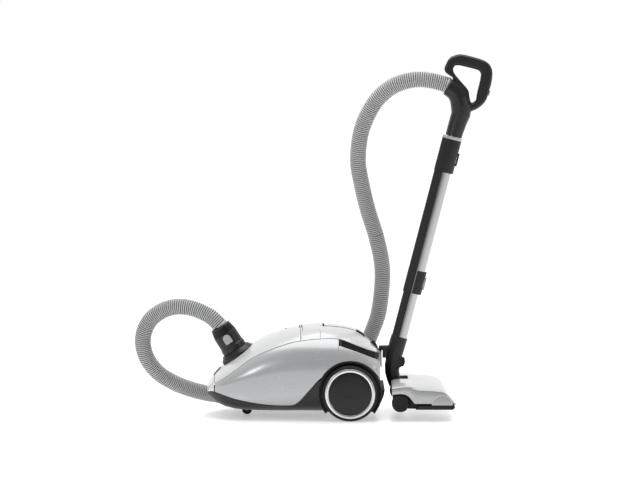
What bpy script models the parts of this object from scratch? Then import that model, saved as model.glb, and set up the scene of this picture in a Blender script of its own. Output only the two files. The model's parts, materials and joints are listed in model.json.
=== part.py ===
"""A canister vacuum cleaner, parked: wheeled body, suction hose, telescopic wand, powered floor head.

Metres, +Z up. The body's nose points to -X and the rear axle lies on X = 0. The origin is on the
floor, at the middle of the cleaner's length and width without its hose.
"""

import math

import bmesh
import bpy
from mathutils import Matrix, Vector

# ---- body ----
NOSE_X, TAIL_X = -0.343, 0.0763
BODY_HALF_WIDTH = 0.135
WALL = 0.003
SEAM = 0.0012  # gap between neighbouring covers
FIT = 0.0003  # gap between pieces that touch
PLAY = 0.0008  # gap round a piece that moves
LID_FRONT_X, LID_REAR_X = -0.3229, -0.1178
DECK_FRONT_X = LID_REAR_X + SEAM
VENT_FRONT_X, VENT_REAR_X = -0.025, 0.067
VENT_SLOTS = 2
PANEL_REAR_X = 0.0722
LATCH_HALF, LATCH_TOP_X, LATCH_FOOT_X = 0.020, -0.3120, -0.3270
LATCH_SWING = 0.0035  # room behind the lever, which the lid's notch sweeps as it opens
PIN_HALF, PIN_RADIUS = 0.030, 0.0022
LENS_X, LENS_RADIUS = -0.152, 0.004
PEDAL_FRONT_X, PEDAL_REAR_X, PEDAL_INNER, PEDAL_OUTER = -0.1125, -0.0710, 0.0125, 0.0610
RECESS_FRONT_X, RECESS_REAR_X, RECESS_HALF = -0.0655, 0.0360, 0.036
HANDLE_FRONT_X, HANDLE_REAR_X, HANDLE_HALF = -0.0615, 0.0160, 0.027
DOCK_FRONT_X, DOCK_HALF, DOCK_LOW, DOCK_TOP = 0.0530, 0.0165, 0.140, 0.1555
BAG_OUTLINE = [(-0.2900, 0.0540), (-0.1340, 0.0540), (-0.1340, 0.1650), (-0.2900, 0.0940)]  # X, Z
BAG_HALF = BODY_HALF_WIDTH - 0.053

# ---- rear wheels and caster ----
WHEEL_RADIUS = 0.066
WHEEL_WIDTH = 0.032
TYRE_THICKNESS = 0.0065
TRIM_WIDTH = 0.008
WHEEL_OUT_Y = BODY_HALF_WIDTH + 0.007
WELL_BACK_Y = WHEEL_OUT_Y - WHEEL_WIDTH - 0.012
HUB_DOME = 0.003
AXLE_RADIUS = 0.004
WELL_GAP = 0.0075  # between the tyre and the wheel well
WELL_WALL = 0.0025
CASTER_X, CASTER_TRAIL = -0.262, 0.015
CASTER_RADIUS, CASTER_WIDTH = 0.012, 0.012
CASTER_CUP_RADIUS, CASTER_CUP_TOP = 0.033, 0.042

# ---- hose and its inlet ----
HOSE_RADIUS = 0.020
INLET_AXIS = Vector((-0.538, 0, 0.843)).normalized()
INLET_CENTRE = Vector((-0.2688, 0, 0.1452))
RING_RADIUS, RING_TOP_RADIUS, RING_HEIGHT, RING_DEPTH = 0.043, 0.034, 0.014, 0.010
CUFF_RADIUS, CUFF_TOP_RADIUS, CUFF_END = 0.031, 0.0255, 0.0804
SPIGOT_RADIUS = 0.0255
FRONT_END, MIDDLE_END = Vector((-0.1350, 0.178, 0.0205)), Vector((0.0640, 0.123, 0.4260))

# ---- wand ----
WAND_FOOT = Vector((0.1199, 0, 0.1877))  # on the wand's middle line, at the neck's rim
WAND_TILT = math.radians(14.5)  # from the vertical, towards +X
WAND_DIR = Vector((math.sin(WAND_TILT), 0, math.cos(WAND_TILT)))
WAND_ACROSS = Vector((math.cos(WAND_TILT), 0, -math.sin(WAND_TILT)))
UPPER_RADIUS, TUBE_WALL = 0.016, 0.0012
LOWER_RADIUS = UPPER_RADIUS - TUBE_WALL - 0.0007
TUBE_ACROSS = 0.004  # tube axis, ahead of the wand's middle line
COLLAR_START, COLLAR_LENGTH = 0.110, 0.056
UPPER_LENGTH = 0.385  # from the mid collar's lower end to the handle
LOWER_LENGTH, LOWER_IN_NECK = UPPER_LENGTH, 0.022  # the lower tube slides right into the upper one
WAND_TOP = COLLAR_START + UPPER_LENGTH
TOP_COLLAR_LENGTH = 0.085
CHANNEL_OUT, CHANNEL_HALF = UPPER_RADIUS + 0.0022, UPPER_RADIUS - 0.001  # the lower cable channel
CHANNEL_GAP, CHANNEL_WALL = 0.0006, 0.0016

# ---- handle, in X and Z from the wand's head ----
WAND_HEAD = WAND_FOOT + WAND_DIR * (WAND_TOP + 0.016)
GRIP_THICKNESS = 0.025
HOSE_JOINT = (-0.0128, 0.1072)  # centre of the hose's end face
HOSE_ENTRY = Vector((0.842, 0, -0.540)).normalized()
LOOP_OUTER = [
    (-0.0230, 0.1500), (-0.0100, 0.1760), (0.0120, 0.1842), (0.0310, 0.1815), (0.0720, 0.1700),
    (0.0870, 0.1590), (0.0935, 0.1430), (0.0917, 0.1190), (0.0820, 0.0820), (0.0735, 0.0660),
    (0.0575, 0.0530), (0.0375, 0.0450), (0.0100, 0.0600), (0.0080, 0.1120), (-0.0010, 0.1272),
    (-0.0100, 0.1330), (-0.0195, 0.1395),
]
LOOP_INNER = [
    (0.0061, 0.1588), (-0.0016, 0.1500), (0.0010, 0.1380), (0.0190, 0.1170), (0.0350, 0.0990),
    (0.0376, 0.0900), (0.0378, 0.0680), (0.0470, 0.0680), (0.0545, 0.0740), (0.0550, 0.0850),
    (0.0665, 0.1330), (0.0625, 0.1440), (0.0470, 0.1490),
]

# ---- floor head ----
HEAD_HALF_WIDTH = 0.138
PIVOT = Vector((0.1195, 0, 0.042))
HEAD_WHEEL_RADIUS, HEAD_WHEEL_WIDTH = 0.0205, 0.020
BARREL_RADIUS, BARREL_HALF = 0.0165, 0.030
ROLL_CENTRE, ROLL_RADIUS = Vector((0.2120, 0, 0.0415)), 0.0165
CHAMBER_RADIUS, CHAMBER_WALL = ROLL_RADIUS + 0.0018, 0.0020
PULLEY_RADIUS, ROLL_PULLEY_RADIUS, BELT_WIDTH, BELT_THICKNESS = 0.0060, 0.0100, 0.005, 0.0012
BRUSH_MOTOR = Vector((0.1600, 0, 0.0665))
BRUSH_MOTOR_RADIUS = 0.0125
HEAD_AXLE = 0.003
WHEEL_INSIDE = HEAD_HALF_WIDTH - HEAD_WHEEL_WIDTH - 0.004
ROLL_HALF = HEAD_HALF_WIDTH - 0.024
BELT_Y = -(HEAD_HALF_WIDTH - 0.034)

# ---- fan motor and cord reel ----
ROOM_SHARE = WELL_BACK_Y / 0.098  # the fan and the reel share the width between the wheel wells
FAN_RADIUS, FAN_HALF, FAN_TOP = 0.046, 0.062, 0.171
FAN_CENTRE = Vector((-0.045, 0.036 * ROOM_SHARE, FAN_TOP - FAN_RADIUS))
REEL_CENTRE = Vector((-0.028, -0.060 * ROOM_SHARE, 0.122))
REEL_RADIUS, REEL_WIDTH = 0.050, 0.052 * ROOM_SHARE

ROUND = 24  # sides of a large round piece
SMALL_ROUND = 12
WHEEL_SIDES = 32


# ---------------------------------------------------------------- shapes

def smooth(points):
    """A smooth curve through points of equal length, as a function of their first value."""
    def slope(i, k):
        a, b = points[max(i - 1, 0)], points[min(i + 1, len(points) - 1)]
        return (b[k] - a[k]) / (b[0] - a[0])

    def at(x, k=1):
        i = 0
        while i < len(points) - 2 and x > points[i + 1][0]:
            i += 1
        a, b = points[i], points[i + 1]
        span = b[0] - a[0]
        t = min(max((x - a[0]) / span, 0), 1)
        return (a[k] * (1 + 2 * t) * (1 - t) ** 2 + b[k] * t * t * (3 - 2 * t)
                + span * (slope(i, k) * t * (1 - t) ** 2 + slope(i + 1, k) * t * t * (t - 1)))
    return at


def spaced(first, last, count):
    return [first + (last - first) * i / (count - 1) for i in range(count)]


# The body's outline: its crown, its widest line and its keel along X, and its half width as a share.
CROWN = smooth([
    (-0.343, 0.0725), (-0.336, 0.0850), (-0.313, 0.1110), (-0.2695, 0.1450), (-0.234, 0.1705),
    (-0.198, 0.1920), (-0.138, 0.2110), (-0.071, 0.2190), (-0.003, 0.2124), (0.030, 0.1970),
    (0.055, 0.1720), (0.0763, 0.1510),
])
WIDEST = smooth([(-0.343, 0.0635), (-0.300, 0.0800), (-0.200, 0.1050), (-0.100, 0.1150), (0.0763, 0.1180)])
KEEL = smooth([
    (-0.343, 0.0516), (-0.320, 0.0340), (-0.283, 0.0210), (-0.240, 0.0165), (-0.100, 0.0160),
    (0.030, 0.0180), (0.054, 0.0300), (0.0763, 0.0480),
])
FULLNESS = smooth([
    (-0.343, 0.26), (-0.336, 0.46), (-0.3229, 0.61), (-0.300, 0.75), (-0.250, 0.88), (-0.200, 0.94),
    (-0.120, 0.985), (-0.030, 1.0), (0.030, 0.99), (0.055, 0.955), (0.068, 0.88), (0.0763, 0.76),
])
# Heights of the lines between the covers: under the lid and deck, under the vent, over the base.
COVER_LINE = smooth([
    (-0.343, 0.0690), (-0.313, 0.0890), (-0.2726, 0.1176), (-0.239, 0.1430), (-0.205, 0.1600),
    (-0.172, 0.1733), (-0.138, 0.1834), (-0.104, 0.1890), (-0.0706, 0.1920), (-0.027, 0.1920),
    (0.020, 0.1760), (0.067, 0.1560), (0.0763, 0.1500),
])
VENT_LINE = smooth([(-0.027, 0.1785), (0.020, 0.1630), (0.067, 0.1440), (0.0763, 0.1400)])
BASE_LINE = smooth([
    (-0.343, 0.0600), (-0.325, 0.0640), (-0.273, 0.0500), (-0.205, 0.0377), (-0.150, 0.0350),
    (-0.1277, 0.0400), (-0.098, 0.0720), (-0.070, 0.1020), (-0.050, 0.1050), (0.040, 0.1050),
    (0.066, 0.0980), (0.0763, 0.0700),
])
# The floor head's crown, the crease over its sides and its cover's lower edge, along X.
HEAD_TOP = smooth([
    (0.0990, 0.0850), (0.1080, 0.0885), (0.1400, 0.0898), (0.1750, 0.0892), (0.2000, 0.0866),
    (0.2146, 0.0822), (0.2260, 0.0735), (0.2370, 0.0595), (0.2510, 0.0425),
])
HEAD_CREASE = smooth([
    (0.0990, 0.0780), (0.1434, 0.0815), (0.1541, 0.0745), (0.2181, 0.0690), (0.2341, 0.0590),
    (0.2510, 0.0400),
])
HEAD_EDGE = smooth([
    (0.0990, 0.0640), (0.1300, 0.0640), (0.1420, 0.0560), (0.1530, 0.0420), (0.1600, 0.0385),
    (0.2000, 0.0378), (0.2510, 0.0375),
])
LENS_CENTRE = Vector((LENS_X, 0, CROWN(LENS_X)))
UPPER_POWER, LOWER_POWER = 2.2, 4.0  # how square the section is above and below its widest line


def skin(x, angle, inset=0.0, side=1):
    """A point of the body's surface at x: angle pi/2 is the crown, 0 the widest line, -pi/2 the keel."""
    half = BODY_HALF_WIDTH * FULLNESS(x) - inset
    power = UPPER_POWER if angle >= 0 else LOWER_POWER
    tall = CROWN(x) - WIDEST(x) - inset if angle >= 0 else WIDEST(x) - KEEL(x) - inset
    out = half * max(math.cos(angle), 0.0) ** (2 / power)
    up = tall * abs(math.sin(angle)) ** (2 / power)
    return Vector((x, side * out, WIDEST(x) + math.copysign(up, angle)))


def angle_at(x, z):
    """The section angle whose surface point is at height z."""
    above = z >= WIDEST(x)
    tall = CROWN(x) - WIDEST(x) if above else WIDEST(x) - KEEL(x)
    share = min(abs(z - WIDEST(x)) / tall, 1.0)
    return math.copysign(math.asin(share ** ((UPPER_POWER if above else LOWER_POWER) / 2)), z - WIDEST(x))


def surface(x, y):
    """Height of the upper surface at x, y."""
    share = min(abs(y) / (BODY_HALF_WIDTH * FULLNESS(x)), 0.999)
    return WIDEST(x) + (CROWN(x) - WIDEST(x)) * (1 - share ** UPPER_POWER) ** (1 / UPPER_POWER)


def axes_of(axis):
    """Two unit vectors square to an axis, the first one as near to +Z as it can be, and the axis."""
    a = Vector(axis).normalized()
    ref = Vector((1, 0, 0)) if abs(a.z) > 0.9 else Vector((0, 0, 1))
    u = (ref - a * ref.dot(a)).normalized()
    return u, a.cross(u), a


# ---------------------------------------------------------------- scene and objects

MATERIALS = {
    "white_gloss": ((0.86, 0.87, 0.88), 0.22, 0.0),
    "light_grey_gloss": ((0.62, 0.63, 0.65), 0.28, 0.0),
    "black_satin": ((0.035, 0.036, 0.038), 0.42, 0.0),
    "black_matte": ((0.045, 0.045, 0.048), 0.70, 0.0),
    "button_grey": ((0.55, 0.56, 0.58), 0.40, 0.0),
    "silver_trim": ((0.78, 0.79, 0.80), 0.25, 0.8),
    "chrome_tube": ((0.85, 0.86, 0.87), 0.14, 1.0),
    "steel": ((0.60, 0.60, 0.62), 0.35, 1.0),
    "tyre_rubber": ((0.030, 0.030, 0.032), 0.80, 0.0),
    "hose_grey": ((0.48, 0.49, 0.50), 0.55, 0.0),
    "bag_paper": ((0.80, 0.74, 0.62), 0.85, 0.0),
    "filter_fabric": ((0.82, 0.84, 0.86), 0.90, 0.0),
    "lens_green": ((0.10, 0.35, 0.20), 0.15, 0.0),
    "bristle_black": ((0.06, 0.06, 0.07), 0.85, 0.0),
}
frames = {}  # joint empties


def clear():
    for obj in list(bpy.data.objects):
        bpy.data.objects.remove(obj, do_unlink=True)


def material(name):
    found = bpy.data.materials.get(name)
    if found:
        return found
    colour, roughness, metallic = MATERIALS[name]
    made = bpy.data.materials.new(name)
    made.use_nodes = True
    shader = made.node_tree.nodes["Principled BSDF"]
    shader.inputs["Base Color"].default_value = (*colour, 1)
    shader.inputs["Roughness"].default_value = roughness
    shader.inputs["Metallic"].default_value = metallic
    return made


def joint_frame(name, place, parent=None):
    """An empty on a joint's axis, which the moving pieces hang from."""
    empty = bpy.data.objects.new(name, None)
    empty.empty_display_size = 0.02
    bpy.context.collection.objects.link(empty)
    frames[name] = Vector(place)
    empty.location = Vector(place) - (frames[parent] if parent else Vector())
    if parent:
        empty.parent = bpy.data.objects[parent]
    return empty


def hang(obj, frame):
    """Parent an object to a joint's empty and leave it where it is."""
    if frame:
        obj.parent = bpy.data.objects[frame]
        obj.matrix_parent_inverse = Matrix.Translation(-frames[frame])


def finish(name, bm, mat, frame=None):
    bmesh.ops.recalc_face_normals(bm, faces=bm.faces)
    mesh = bpy.data.meshes.new(name)
    bm.to_mesh(mesh)
    bm.free()
    mesh.shade_smooth()
    mesh.set_sharp_from_angle(angle=math.radians(35))
    obj = bpy.data.objects.new(name, mesh)
    bpy.context.collection.objects.link(obj)
    if mat:
        mesh.materials.append(material(mat))
    else:
        obj.hide_render = True
        obj.display_type = "WIRE"
    hang(obj, frame)
    return obj


def faces_between(bm, a, b, closed=True):
    count = len(a) if closed else len(a) - 1
    for i in range(count):
        j = (i + 1) % len(a)
        corners = [a[i], a[j], b[j], b[i]]
        distinct = [v for k, v in enumerate(corners) if v not in corners[:k]]
        if len(distinct) > 2:
            bm.faces.new(distinct)


def shell(name, outer, inner, mat, frame=None):
    """A closed cover between two matching grids of points."""
    bm = bmesh.new()
    grids = [[[bm.verts.new(p) for p in row] for row in grid] for grid in (outer, inner)]
    for grid in grids:
        for a, b in zip(grid, grid[1:]):
            faces_between(bm, a, b, closed=False)
    rims = [
        g[0][:-1] + [row[-1] for row in g[:-1]] + g[-1][:0:-1] + [row[0] for row in g[:0:-1]]
        for g in grids
    ]
    faces_between(bm, *rims)
    return finish(name, bm, mat, frame)


def loft(name, rings, mat, frame=None):
    """A solid through closed rings of points, with flat ends."""
    bm = bmesh.new()
    made = [[bm.verts.new(p) for p in ring] for ring in rings]
    for a, b in zip(made, made[1:]):
        faces_between(bm, a, b)
    bm.faces.new(made[0])
    bm.faces.new(made[-1])
    return finish(name, bm, mat, frame)


def slab(name, outline, low, high, mat, frame=None):
    """An outline in the XZ plane, extruded from Y = low to Y = high."""
    return loft(name, [[Vector((x, y, z)) for x, z in outline] for y in (low, high)], mat, frame)


def box(name, low, high, mat, frame=None):
    outline = [(low[0], low[2]), (high[0], low[2]), (high[0], high[2]), (low[0], high[2])]
    return slab(name, outline, low[1], high[1], mat, frame)


def turned(name, profile, centre, axis, mat, frame=None, sides=ROUND):
    """A solid of revolution. Profile points are (radius, height along the axis) round one wall."""
    u, v, a = axes_of(axis)
    bm = bmesh.new()
    rings = []
    for radius, height in profile:
        middle = Vector(centre) + a * height
        if radius == 0:
            rings.append([bm.verts.new(middle)] * sides)
            continue
        turns = [2 * math.pi * (k + 0.5) / sides for k in range(sides)]
        rings.append([bm.verts.new(middle + (u * math.cos(t) + v * math.sin(t)) * radius) for t in turns])
    for p, q in zip(rings, rings[1:]):
        faces_between(bm, p, q)
    if profile[0][0] and profile[-1][0]:
        faces_between(bm, rings[-1], rings[0])
    return finish(name, bm, mat, frame)


def rod(name, centre, axis, radius, low, high, mat, frame=None, sides=SMALL_ROUND):
    return turned(name, [(0, low), (radius, low), (radius, high), (0, high)], centre, axis, mat, frame, sides)


def tube(name, points, radius, mat):
    """A round cord along points, as a curve with a bevel and filled ends."""
    curve = bpy.data.curves.new(name, "CURVE")
    curve.dimensions = "3D"
    curve.bevel_depth = radius
    curve.bevel_resolution = 2
    curve.use_fill_caps = True
    spline = curve.splines.new("POLY")
    spline.points.add(len(points) - 1)
    for target, p in zip(spline.points, points):
        target.co = (*p, 1)
    obj = bpy.data.objects.new(name, curve)
    bpy.context.collection.objects.link(obj)
    curve.materials.append(material(mat))
    return obj


def sweep(name, points, radii, mat, frame=None, sides=14):
    """A round bar along points in the XZ plane; the radii are spread evenly along them."""
    rings = []
    for k, p in enumerate(points):
        ahead = points[min(k + 1, len(points) - 1)] - points[max(k - 1, 0)]
        across = Vector((-ahead.z, 0, ahead.x)).normalized()
        share = k / (len(points) - 1) * (len(radii) - 1)
        i = min(int(share), len(radii) - 2)
        radius = radii[i] + (radii[i + 1] - radii[i]) * (share - i)
        turns = [2 * math.pi * (j + 0.5) / sides for j in range(sides)]
        rings.append([p + (across * math.cos(t) + Vector((0, 1, 0)) * math.sin(t)) * radius for t in turns])
    return loft(name, rings, mat, frame)


def route(points, spacing):
    """Points at an even spacing along a smooth curve through the given ones."""
    points = [Vector(p) for p in points]
    ends = [2 * points[0] - points[1], *points, 2 * points[-1] - points[-2]]
    fine = []
    for a, b, c, d in zip(ends, ends[1:], ends[2:], ends[3:]):
        for k in range(16):
            t = k / 16
            fine.append(0.5 * (2 * b + (c - a) * t + (2 * a - 5 * b + 4 * c - d) * t * t
                               + (3 * b - a - 3 * c + d) * t ** 3))
    fine.append(points[-1])
    run = [0.0]
    for a, b in zip(fine, fine[1:]):
        run.append(run[-1] + (b - a).length)
    count = max(round(run[-1] / spacing), 2)
    found, i = [], 0
    for k in range(count + 1):
        goal = run[-1] * k / count
        while i < len(run) - 2 and run[i + 1] < goal:
            i += 1
        found.append(fine[i].lerp(fine[i + 1], (goal - run[i]) / (run[i + 1] - run[i])))
    return found


def combine(obj, other, operation):
    """A Boolean modifier. The other object stays as a hidden guide."""
    other.hide_render = True
    other.display_type = "WIRE"
    modifier = obj.modifiers.new(operation.lower(), "BOOLEAN")
    modifier.operation = operation
    modifier.object = other
    modifier.solver = "EXACT"


def cut(obj, *cutters):
    for cutter in cutters:
        combine(obj, cutter, "DIFFERENCE")


def join(obj, *pieces):
    for piece in pieces:
        combine(obj, piece, "UNION")


# ---------------------------------------------------------------- body covers

def stations(first, last):
    """Places along X for a cover's sections, shared by all covers so that their seams run parallel."""
    shared = spaced(NOSE_X, TAIL_X, 20)
    return [first] + [x for x in shared if first + 0.006 < x < last - 0.006] + [last]


def panel(name, xs, low, high, side, rows, mat, frame=None):
    """A side cover between two lines of height, on one side of the body."""
    def grid(inset):
        return [
            [skin(x, a, inset, side) for a in spaced(angle_at(x, low(x)), angle_at(x, high(x)), rows)]
            for x in xs
        ]
    return shell(name, grid(0), grid(WALL), mat, frame)


def over(xs, edge, end, rows):
    """Grids that run from an edge line on one side, over the crown or the keel, to the other side."""
    def grid(inset):
        rings = []
        for x in xs:
            half = [skin(x, a, inset, -1) for a in spaced(angle_at(x, edge(x)), end, rows)]
            rings.append(half + [Vector((p.x, -p.y, p.z)) for p in half[-2::-1]])
        return rings
    return grid(0), grid(WALL)


def side_panel(name, side):
    xs = stations(LID_FRONT_X + SEAM, PANEL_REAR_X)

    def top(x):
        line = VENT_LINE(x) if VENT_FRONT_X - SEAM < x < VENT_REAR_X + SEAM else COVER_LINE(x)
        return line - SEAM / 2

    xs = sorted({*[x for x in xs if not VENT_FRONT_X - 0.006 < x < VENT_FRONT_X + 0.006
                   and not VENT_REAR_X - 0.006 < x < VENT_REAR_X + 0.006],
                 VENT_FRONT_X - SEAM - 0.0004, VENT_FRONT_X, VENT_REAR_X, VENT_REAR_X + SEAM + 0.0004})
    obj = panel(name, xs, lambda x: BASE_LINE(x) + SEAM / 2, top, side, 7, "light_grey_gloss")
    arch = WHEEL_RADIUS + WELL_GAP + WELL_WALL + 0.0012
    cut(obj, rod(name + "_arch", (0, 0, WHEEL_RADIUS), (0, side, 0), arch, 0.05, 0.20, None, sides=ROUND))
    return obj


def vent_grille(name, side):
    """A strip of louvres between the deck and the side panel."""
    xs = spaced(VENT_FRONT_X + SEAM, VENT_REAR_X - SEAM, 6)
    obj = panel(name, xs, lambda x: VENT_LINE(x) + SEAM / 2, lambda x: COVER_LINE(x) - SEAM / 2,
                side, 3, "black_matte")
    for k in range(VENT_SLOTS):
        share = (k + 0.5) / VENT_SLOTS
        path = []
        for x in (VENT_FRONT_X + 0.008, VENT_REAR_X - 0.008):
            low, high = VENT_LINE(x), COVER_LINE(x)
            path.append((x, low + (high - low) * share))
        outline = [(x, z - 0.0014) for x, z in path] + [(x, z + 0.0014) for x, z in reversed(path)]
        near, far = sorted((side * 0.06, side * 0.16))
        cut(obj, slab(f"{name}_slot_{k}", outline, near, far, None))
    return obj


def lid():
    joint_frame("lid_hinge", (LID_REAR_X, 0, CROWN(LID_REAR_X) - 0.002))
    xs = stations(LID_FRONT_X, LID_REAR_X)
    grids = over(xs, lambda x: COVER_LINE(x) + SEAM / 2, math.pi / 2, 7)
    obj = shell("lid_shell", *grids, "white_gloss", "lid_hinge")
    cut(obj,
        rod("lid_inlet_hole", INLET_CENTRE, INLET_AXIS, RING_RADIUS + FIT, -0.03, 0.03, None, sides=ROUND),
        box("lid_latch_notch", (LID_FRONT_X - 0.01, -LATCH_HALF - PLAY, 0.05),
            (LATCH_TOP_X + LATCH_SWING, LATCH_HALF + PLAY, 0.15), None),
        box("lid_pin_notch", (LID_REAR_X - 0.0035, -PIN_HALF - FIT, 0.20),
            (LID_REAR_X + 0.01, PIN_HALF + FIT, 0.25), None),
        rod("lid_lens_hole", LENS_CENTRE, (0, 0, 1), LENS_RADIUS + FIT, -0.02, 0.02, None))


def lid_fittings():
    inner = SPIGOT_RADIUS + PLAY
    turned("inlet_ring", [
        (RING_RADIUS, -RING_DEPTH), (RING_RADIUS, 0.003), (RING_RADIUS - 0.003, 0.006),
        (RING_TOP_RADIUS, RING_HEIGHT), (inner, RING_HEIGHT), (inner, -RING_DEPTH),
    ], INLET_CENTRE, INLET_AXIS, "black_satin", "lid_hinge")
    rod("indicator_lens", LENS_CENTRE, (0, 0, 1), LENS_RADIUS, -0.004, 0.0006, "lens_green", "lid_hinge")


def rear_deck():
    xs = stations(DECK_FRONT_X, TAIL_X)
    grids = over(xs, lambda x: COVER_LINE(x) + SEAM / 2, math.pi / 2, 7)
    obj = shell("rear_deck", *grids, "white_gloss")
    strip = BODY_HALF_WIDTH * FULLNESS(TAIL_X) - 2 * WALL
    xs = spaced(RECESS_FRONT_X - 0.0025, RECESS_REAR_X + 0.0025, 7)
    ys = spaced(-RECESS_HALF - 0.0025, RECESS_HALF + 0.0025, 7)
    top, _ = strip_over(xs, ys, -WALL / 2, 0)
    low = [[Vector((p.x, p.y, recess_floor(p.x) - 0.0025)) for p in row] for row in top]
    join(obj,
         box("tail_strip", (TAIL_X - WALL, -strip, 0.124), (TAIL_X, strip, COVER_LINE(TAIL_X) + 0.003), None),
         shell("recess_block", top, low, None))
    ends = (RECESS_FRONT_X, RECESS_REAR_X)
    pocket = [(x, recess_floor(x)) for x in ends] + [(RECESS_REAR_X, 0.30), (RECESS_FRONT_X, 0.30)]
    cut(obj,
        slab("recess_pocket", pocket, -RECESS_HALF, RECESS_HALF, None),
        box("deck_pin_notch", (LID_REAR_X - 0.01, -PIN_HALF - FIT, 0.20),
            (LID_REAR_X + 0.0035, PIN_HALF + FIT, 0.25), None),
        box("dock_notch", (DOCK_FRONT_X - FIT, -DOCK_HALF - FIT, DOCK_LOW - 0.001),
            (TAIL_X + 0.02, DOCK_HALF + FIT, 0.25), None))
    for name, side in (("power", 1), ("rewind", -1)):
        ys = sorted((side * (PEDAL_INNER - PLAY), side * (PEDAL_OUTER + PLAY)))
        cut(obj, box(name + "_pedal_hole", (PEDAL_FRONT_X - PLAY, ys[0], 0.15),
                     (PEDAL_REAR_X + PLAY, ys[1], 0.25), None))


def recess_floor(x):
    """Height of the handle recess's sloping floor."""
    return 0.1795 - 0.21 * x


def strip_over(xs, ys, lift, thickness):
    """Grids of a plate that follows the upper surface."""
    top = [[Vector((x, y, surface(x, y) + lift)) for y in ys] for x in xs]
    return top, [[p - Vector((0, 0, thickness)) for p in row] for row in top]


def pedals():
    for name, side in (("power", 1), ("rewind", -1)):
        pivot = (PEDAL_FRONT_X + 0.001, side * (PEDAL_INNER + PEDAL_OUTER) / 2, CROWN(PEDAL_FRONT_X) - 0.001)
        joint_frame(name + "_pedal_pivot", pivot)
        ys = spaced(side * PEDAL_INNER, side * PEDAL_OUTER, 4)
        grids = strip_over(spaced(PEDAL_FRONT_X, PEDAL_REAR_X, 4), ys, 0.0002, 0.005)
        shell(name + "_pedal", *grids, "white_gloss", name + "_pedal_pivot")


def carry_handle():
    pivot = Vector((HANDLE_FRONT_X + 0.005, 0, surface(HANDLE_FRONT_X, 0) - 0.0055))
    joint_frame("carry_handle_pivot", pivot)
    ys = spaced(-HANDLE_HALF, HANDLE_HALF, 7)
    grids = strip_over(spaced(HANDLE_FRONT_X, HANDLE_REAR_X, 7), ys, 0.0, 0.009)
    obj = shell("carry_handle", *grids, "white_gloss", "carry_handle_pivot")
    ends = RECESS_HALF - FIT
    join(obj, rod("carry_handle_pin", pivot, (0, 1, 0), 0.0025, -ends, ends, None))


def nose():
    """The nose cap, solid, and the lid's latch lever in its notch."""
    xs = spaced(NOSE_X, LID_FRONT_X - SEAM, 5)
    outer, _ = over(xs, lambda x: BASE_LINE(x) + SEAM / 2, math.pi / 2, 8)
    cap = loft("nose_cap", outer, "white_gloss")
    cut(cap, box("nose_latch_notch", (LATCH_FOOT_X - 0.0018, -LATCH_HALF - PLAY, 0.0860),
                 (LID_FRONT_X + 0.01, LATCH_HALF + PLAY, 0.15), None))
    foot = Vector((LATCH_FOOT_X + 0.002, 0, CROWN(LATCH_FOOT_X) - 0.0040))
    joint_frame("latch_pivot", foot)
    grids = strip_over(spaced(LATCH_FOOT_X, LATCH_TOP_X, 4), spaced(-LATCH_HALF, LATCH_HALF, 5),
                       0.0020, 0.0065)
    shell("latch_lever", *grids, "black_satin", "latch_pivot")


# ---------------------------------------------------------------- base pan

def base_pan():
    xs = stations(NOSE_X + 0.003, 0.0660)
    grids = over(xs, lambda x: BASE_LINE(x) - SEAM / 2, -math.pi / 2, 6)
    obj = shell("base_pan", *grids, "black_satin")
    floor = KEEL(CASTER_X) - 0.004
    cup = turned("caster_cup", [
        (CASTER_CUP_RADIUS + 0.002, floor + 0.007), (CASTER_CUP_RADIUS + 0.002, CASTER_CUP_TOP + 0.002),
        (0.0048, CASTER_CUP_TOP + 0.002), (0.0048, CASTER_CUP_TOP), (CASTER_CUP_RADIUS, CASTER_CUP_TOP),
        (CASTER_CUP_RADIUS, floor + 0.007),
    ], (CASTER_X, 0, 0), (0, 0, 1), None)
    cut(obj, rod("caster_space", (CASTER_X, 0, 0), (0, 0, 1), CASTER_CUP_RADIUS + 0.001, 0,
                 CASTER_CUP_TOP + 0.001, None, sides=ROUND))
    join(obj, cup)
    rear = 0.0690
    half = BODY_HALF_WIDTH * FULLNESS(rear) - 2 * WALL
    join(obj, box("base_rear_wall", (0.0640, -half, 0.0400), (0.0670, half, 0.1225), None))
    well = WHEEL_RADIUS + WELL_GAP
    back, rim = WELL_BACK_Y, BODY_HALF_WIDTH - 0.007
    below = box("well_floor", (-0.12, -0.2, -0.05), (0.12, 0.2, KEEL(0) + 0.002), None)
    for name, side in (("left", 1), ("right", -1)):
        cup = turned("well_" + name, [
            (AXLE_RADIUS + PLAY, back), (well + WELL_WALL, back), (well + WELL_WALL, rim),
            (well, rim), (well, back + WELL_WALL), (AXLE_RADIUS + PLAY, back + WELL_WALL),
        ], (0, 0, WHEEL_RADIUS), (0, side, 0), None)
        cut(cup, below)
        cut(obj, rod("wheel_space_" + name, (0, 0, WHEEL_RADIUS), (0, side, 0), well + WELL_WALL / 2,
                     back + WELL_WALL * 0.45, 0.2, None, sides=ROUND))
        join(obj, cup)
    bumper = [(0.0675, 0.0380), (0.0675, 0.0700), (0.0830, 0.0705), (0.0805, 0.0560), (0.0740, 0.0400),
              (0.0690, 0.0350)]
    slab("rear_bumper", bumper, -(WELL_BACK_Y - 0.001), WELL_BACK_Y - 0.001, "black_matte")


# ---------------------------------------------------------------- wheels

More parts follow.
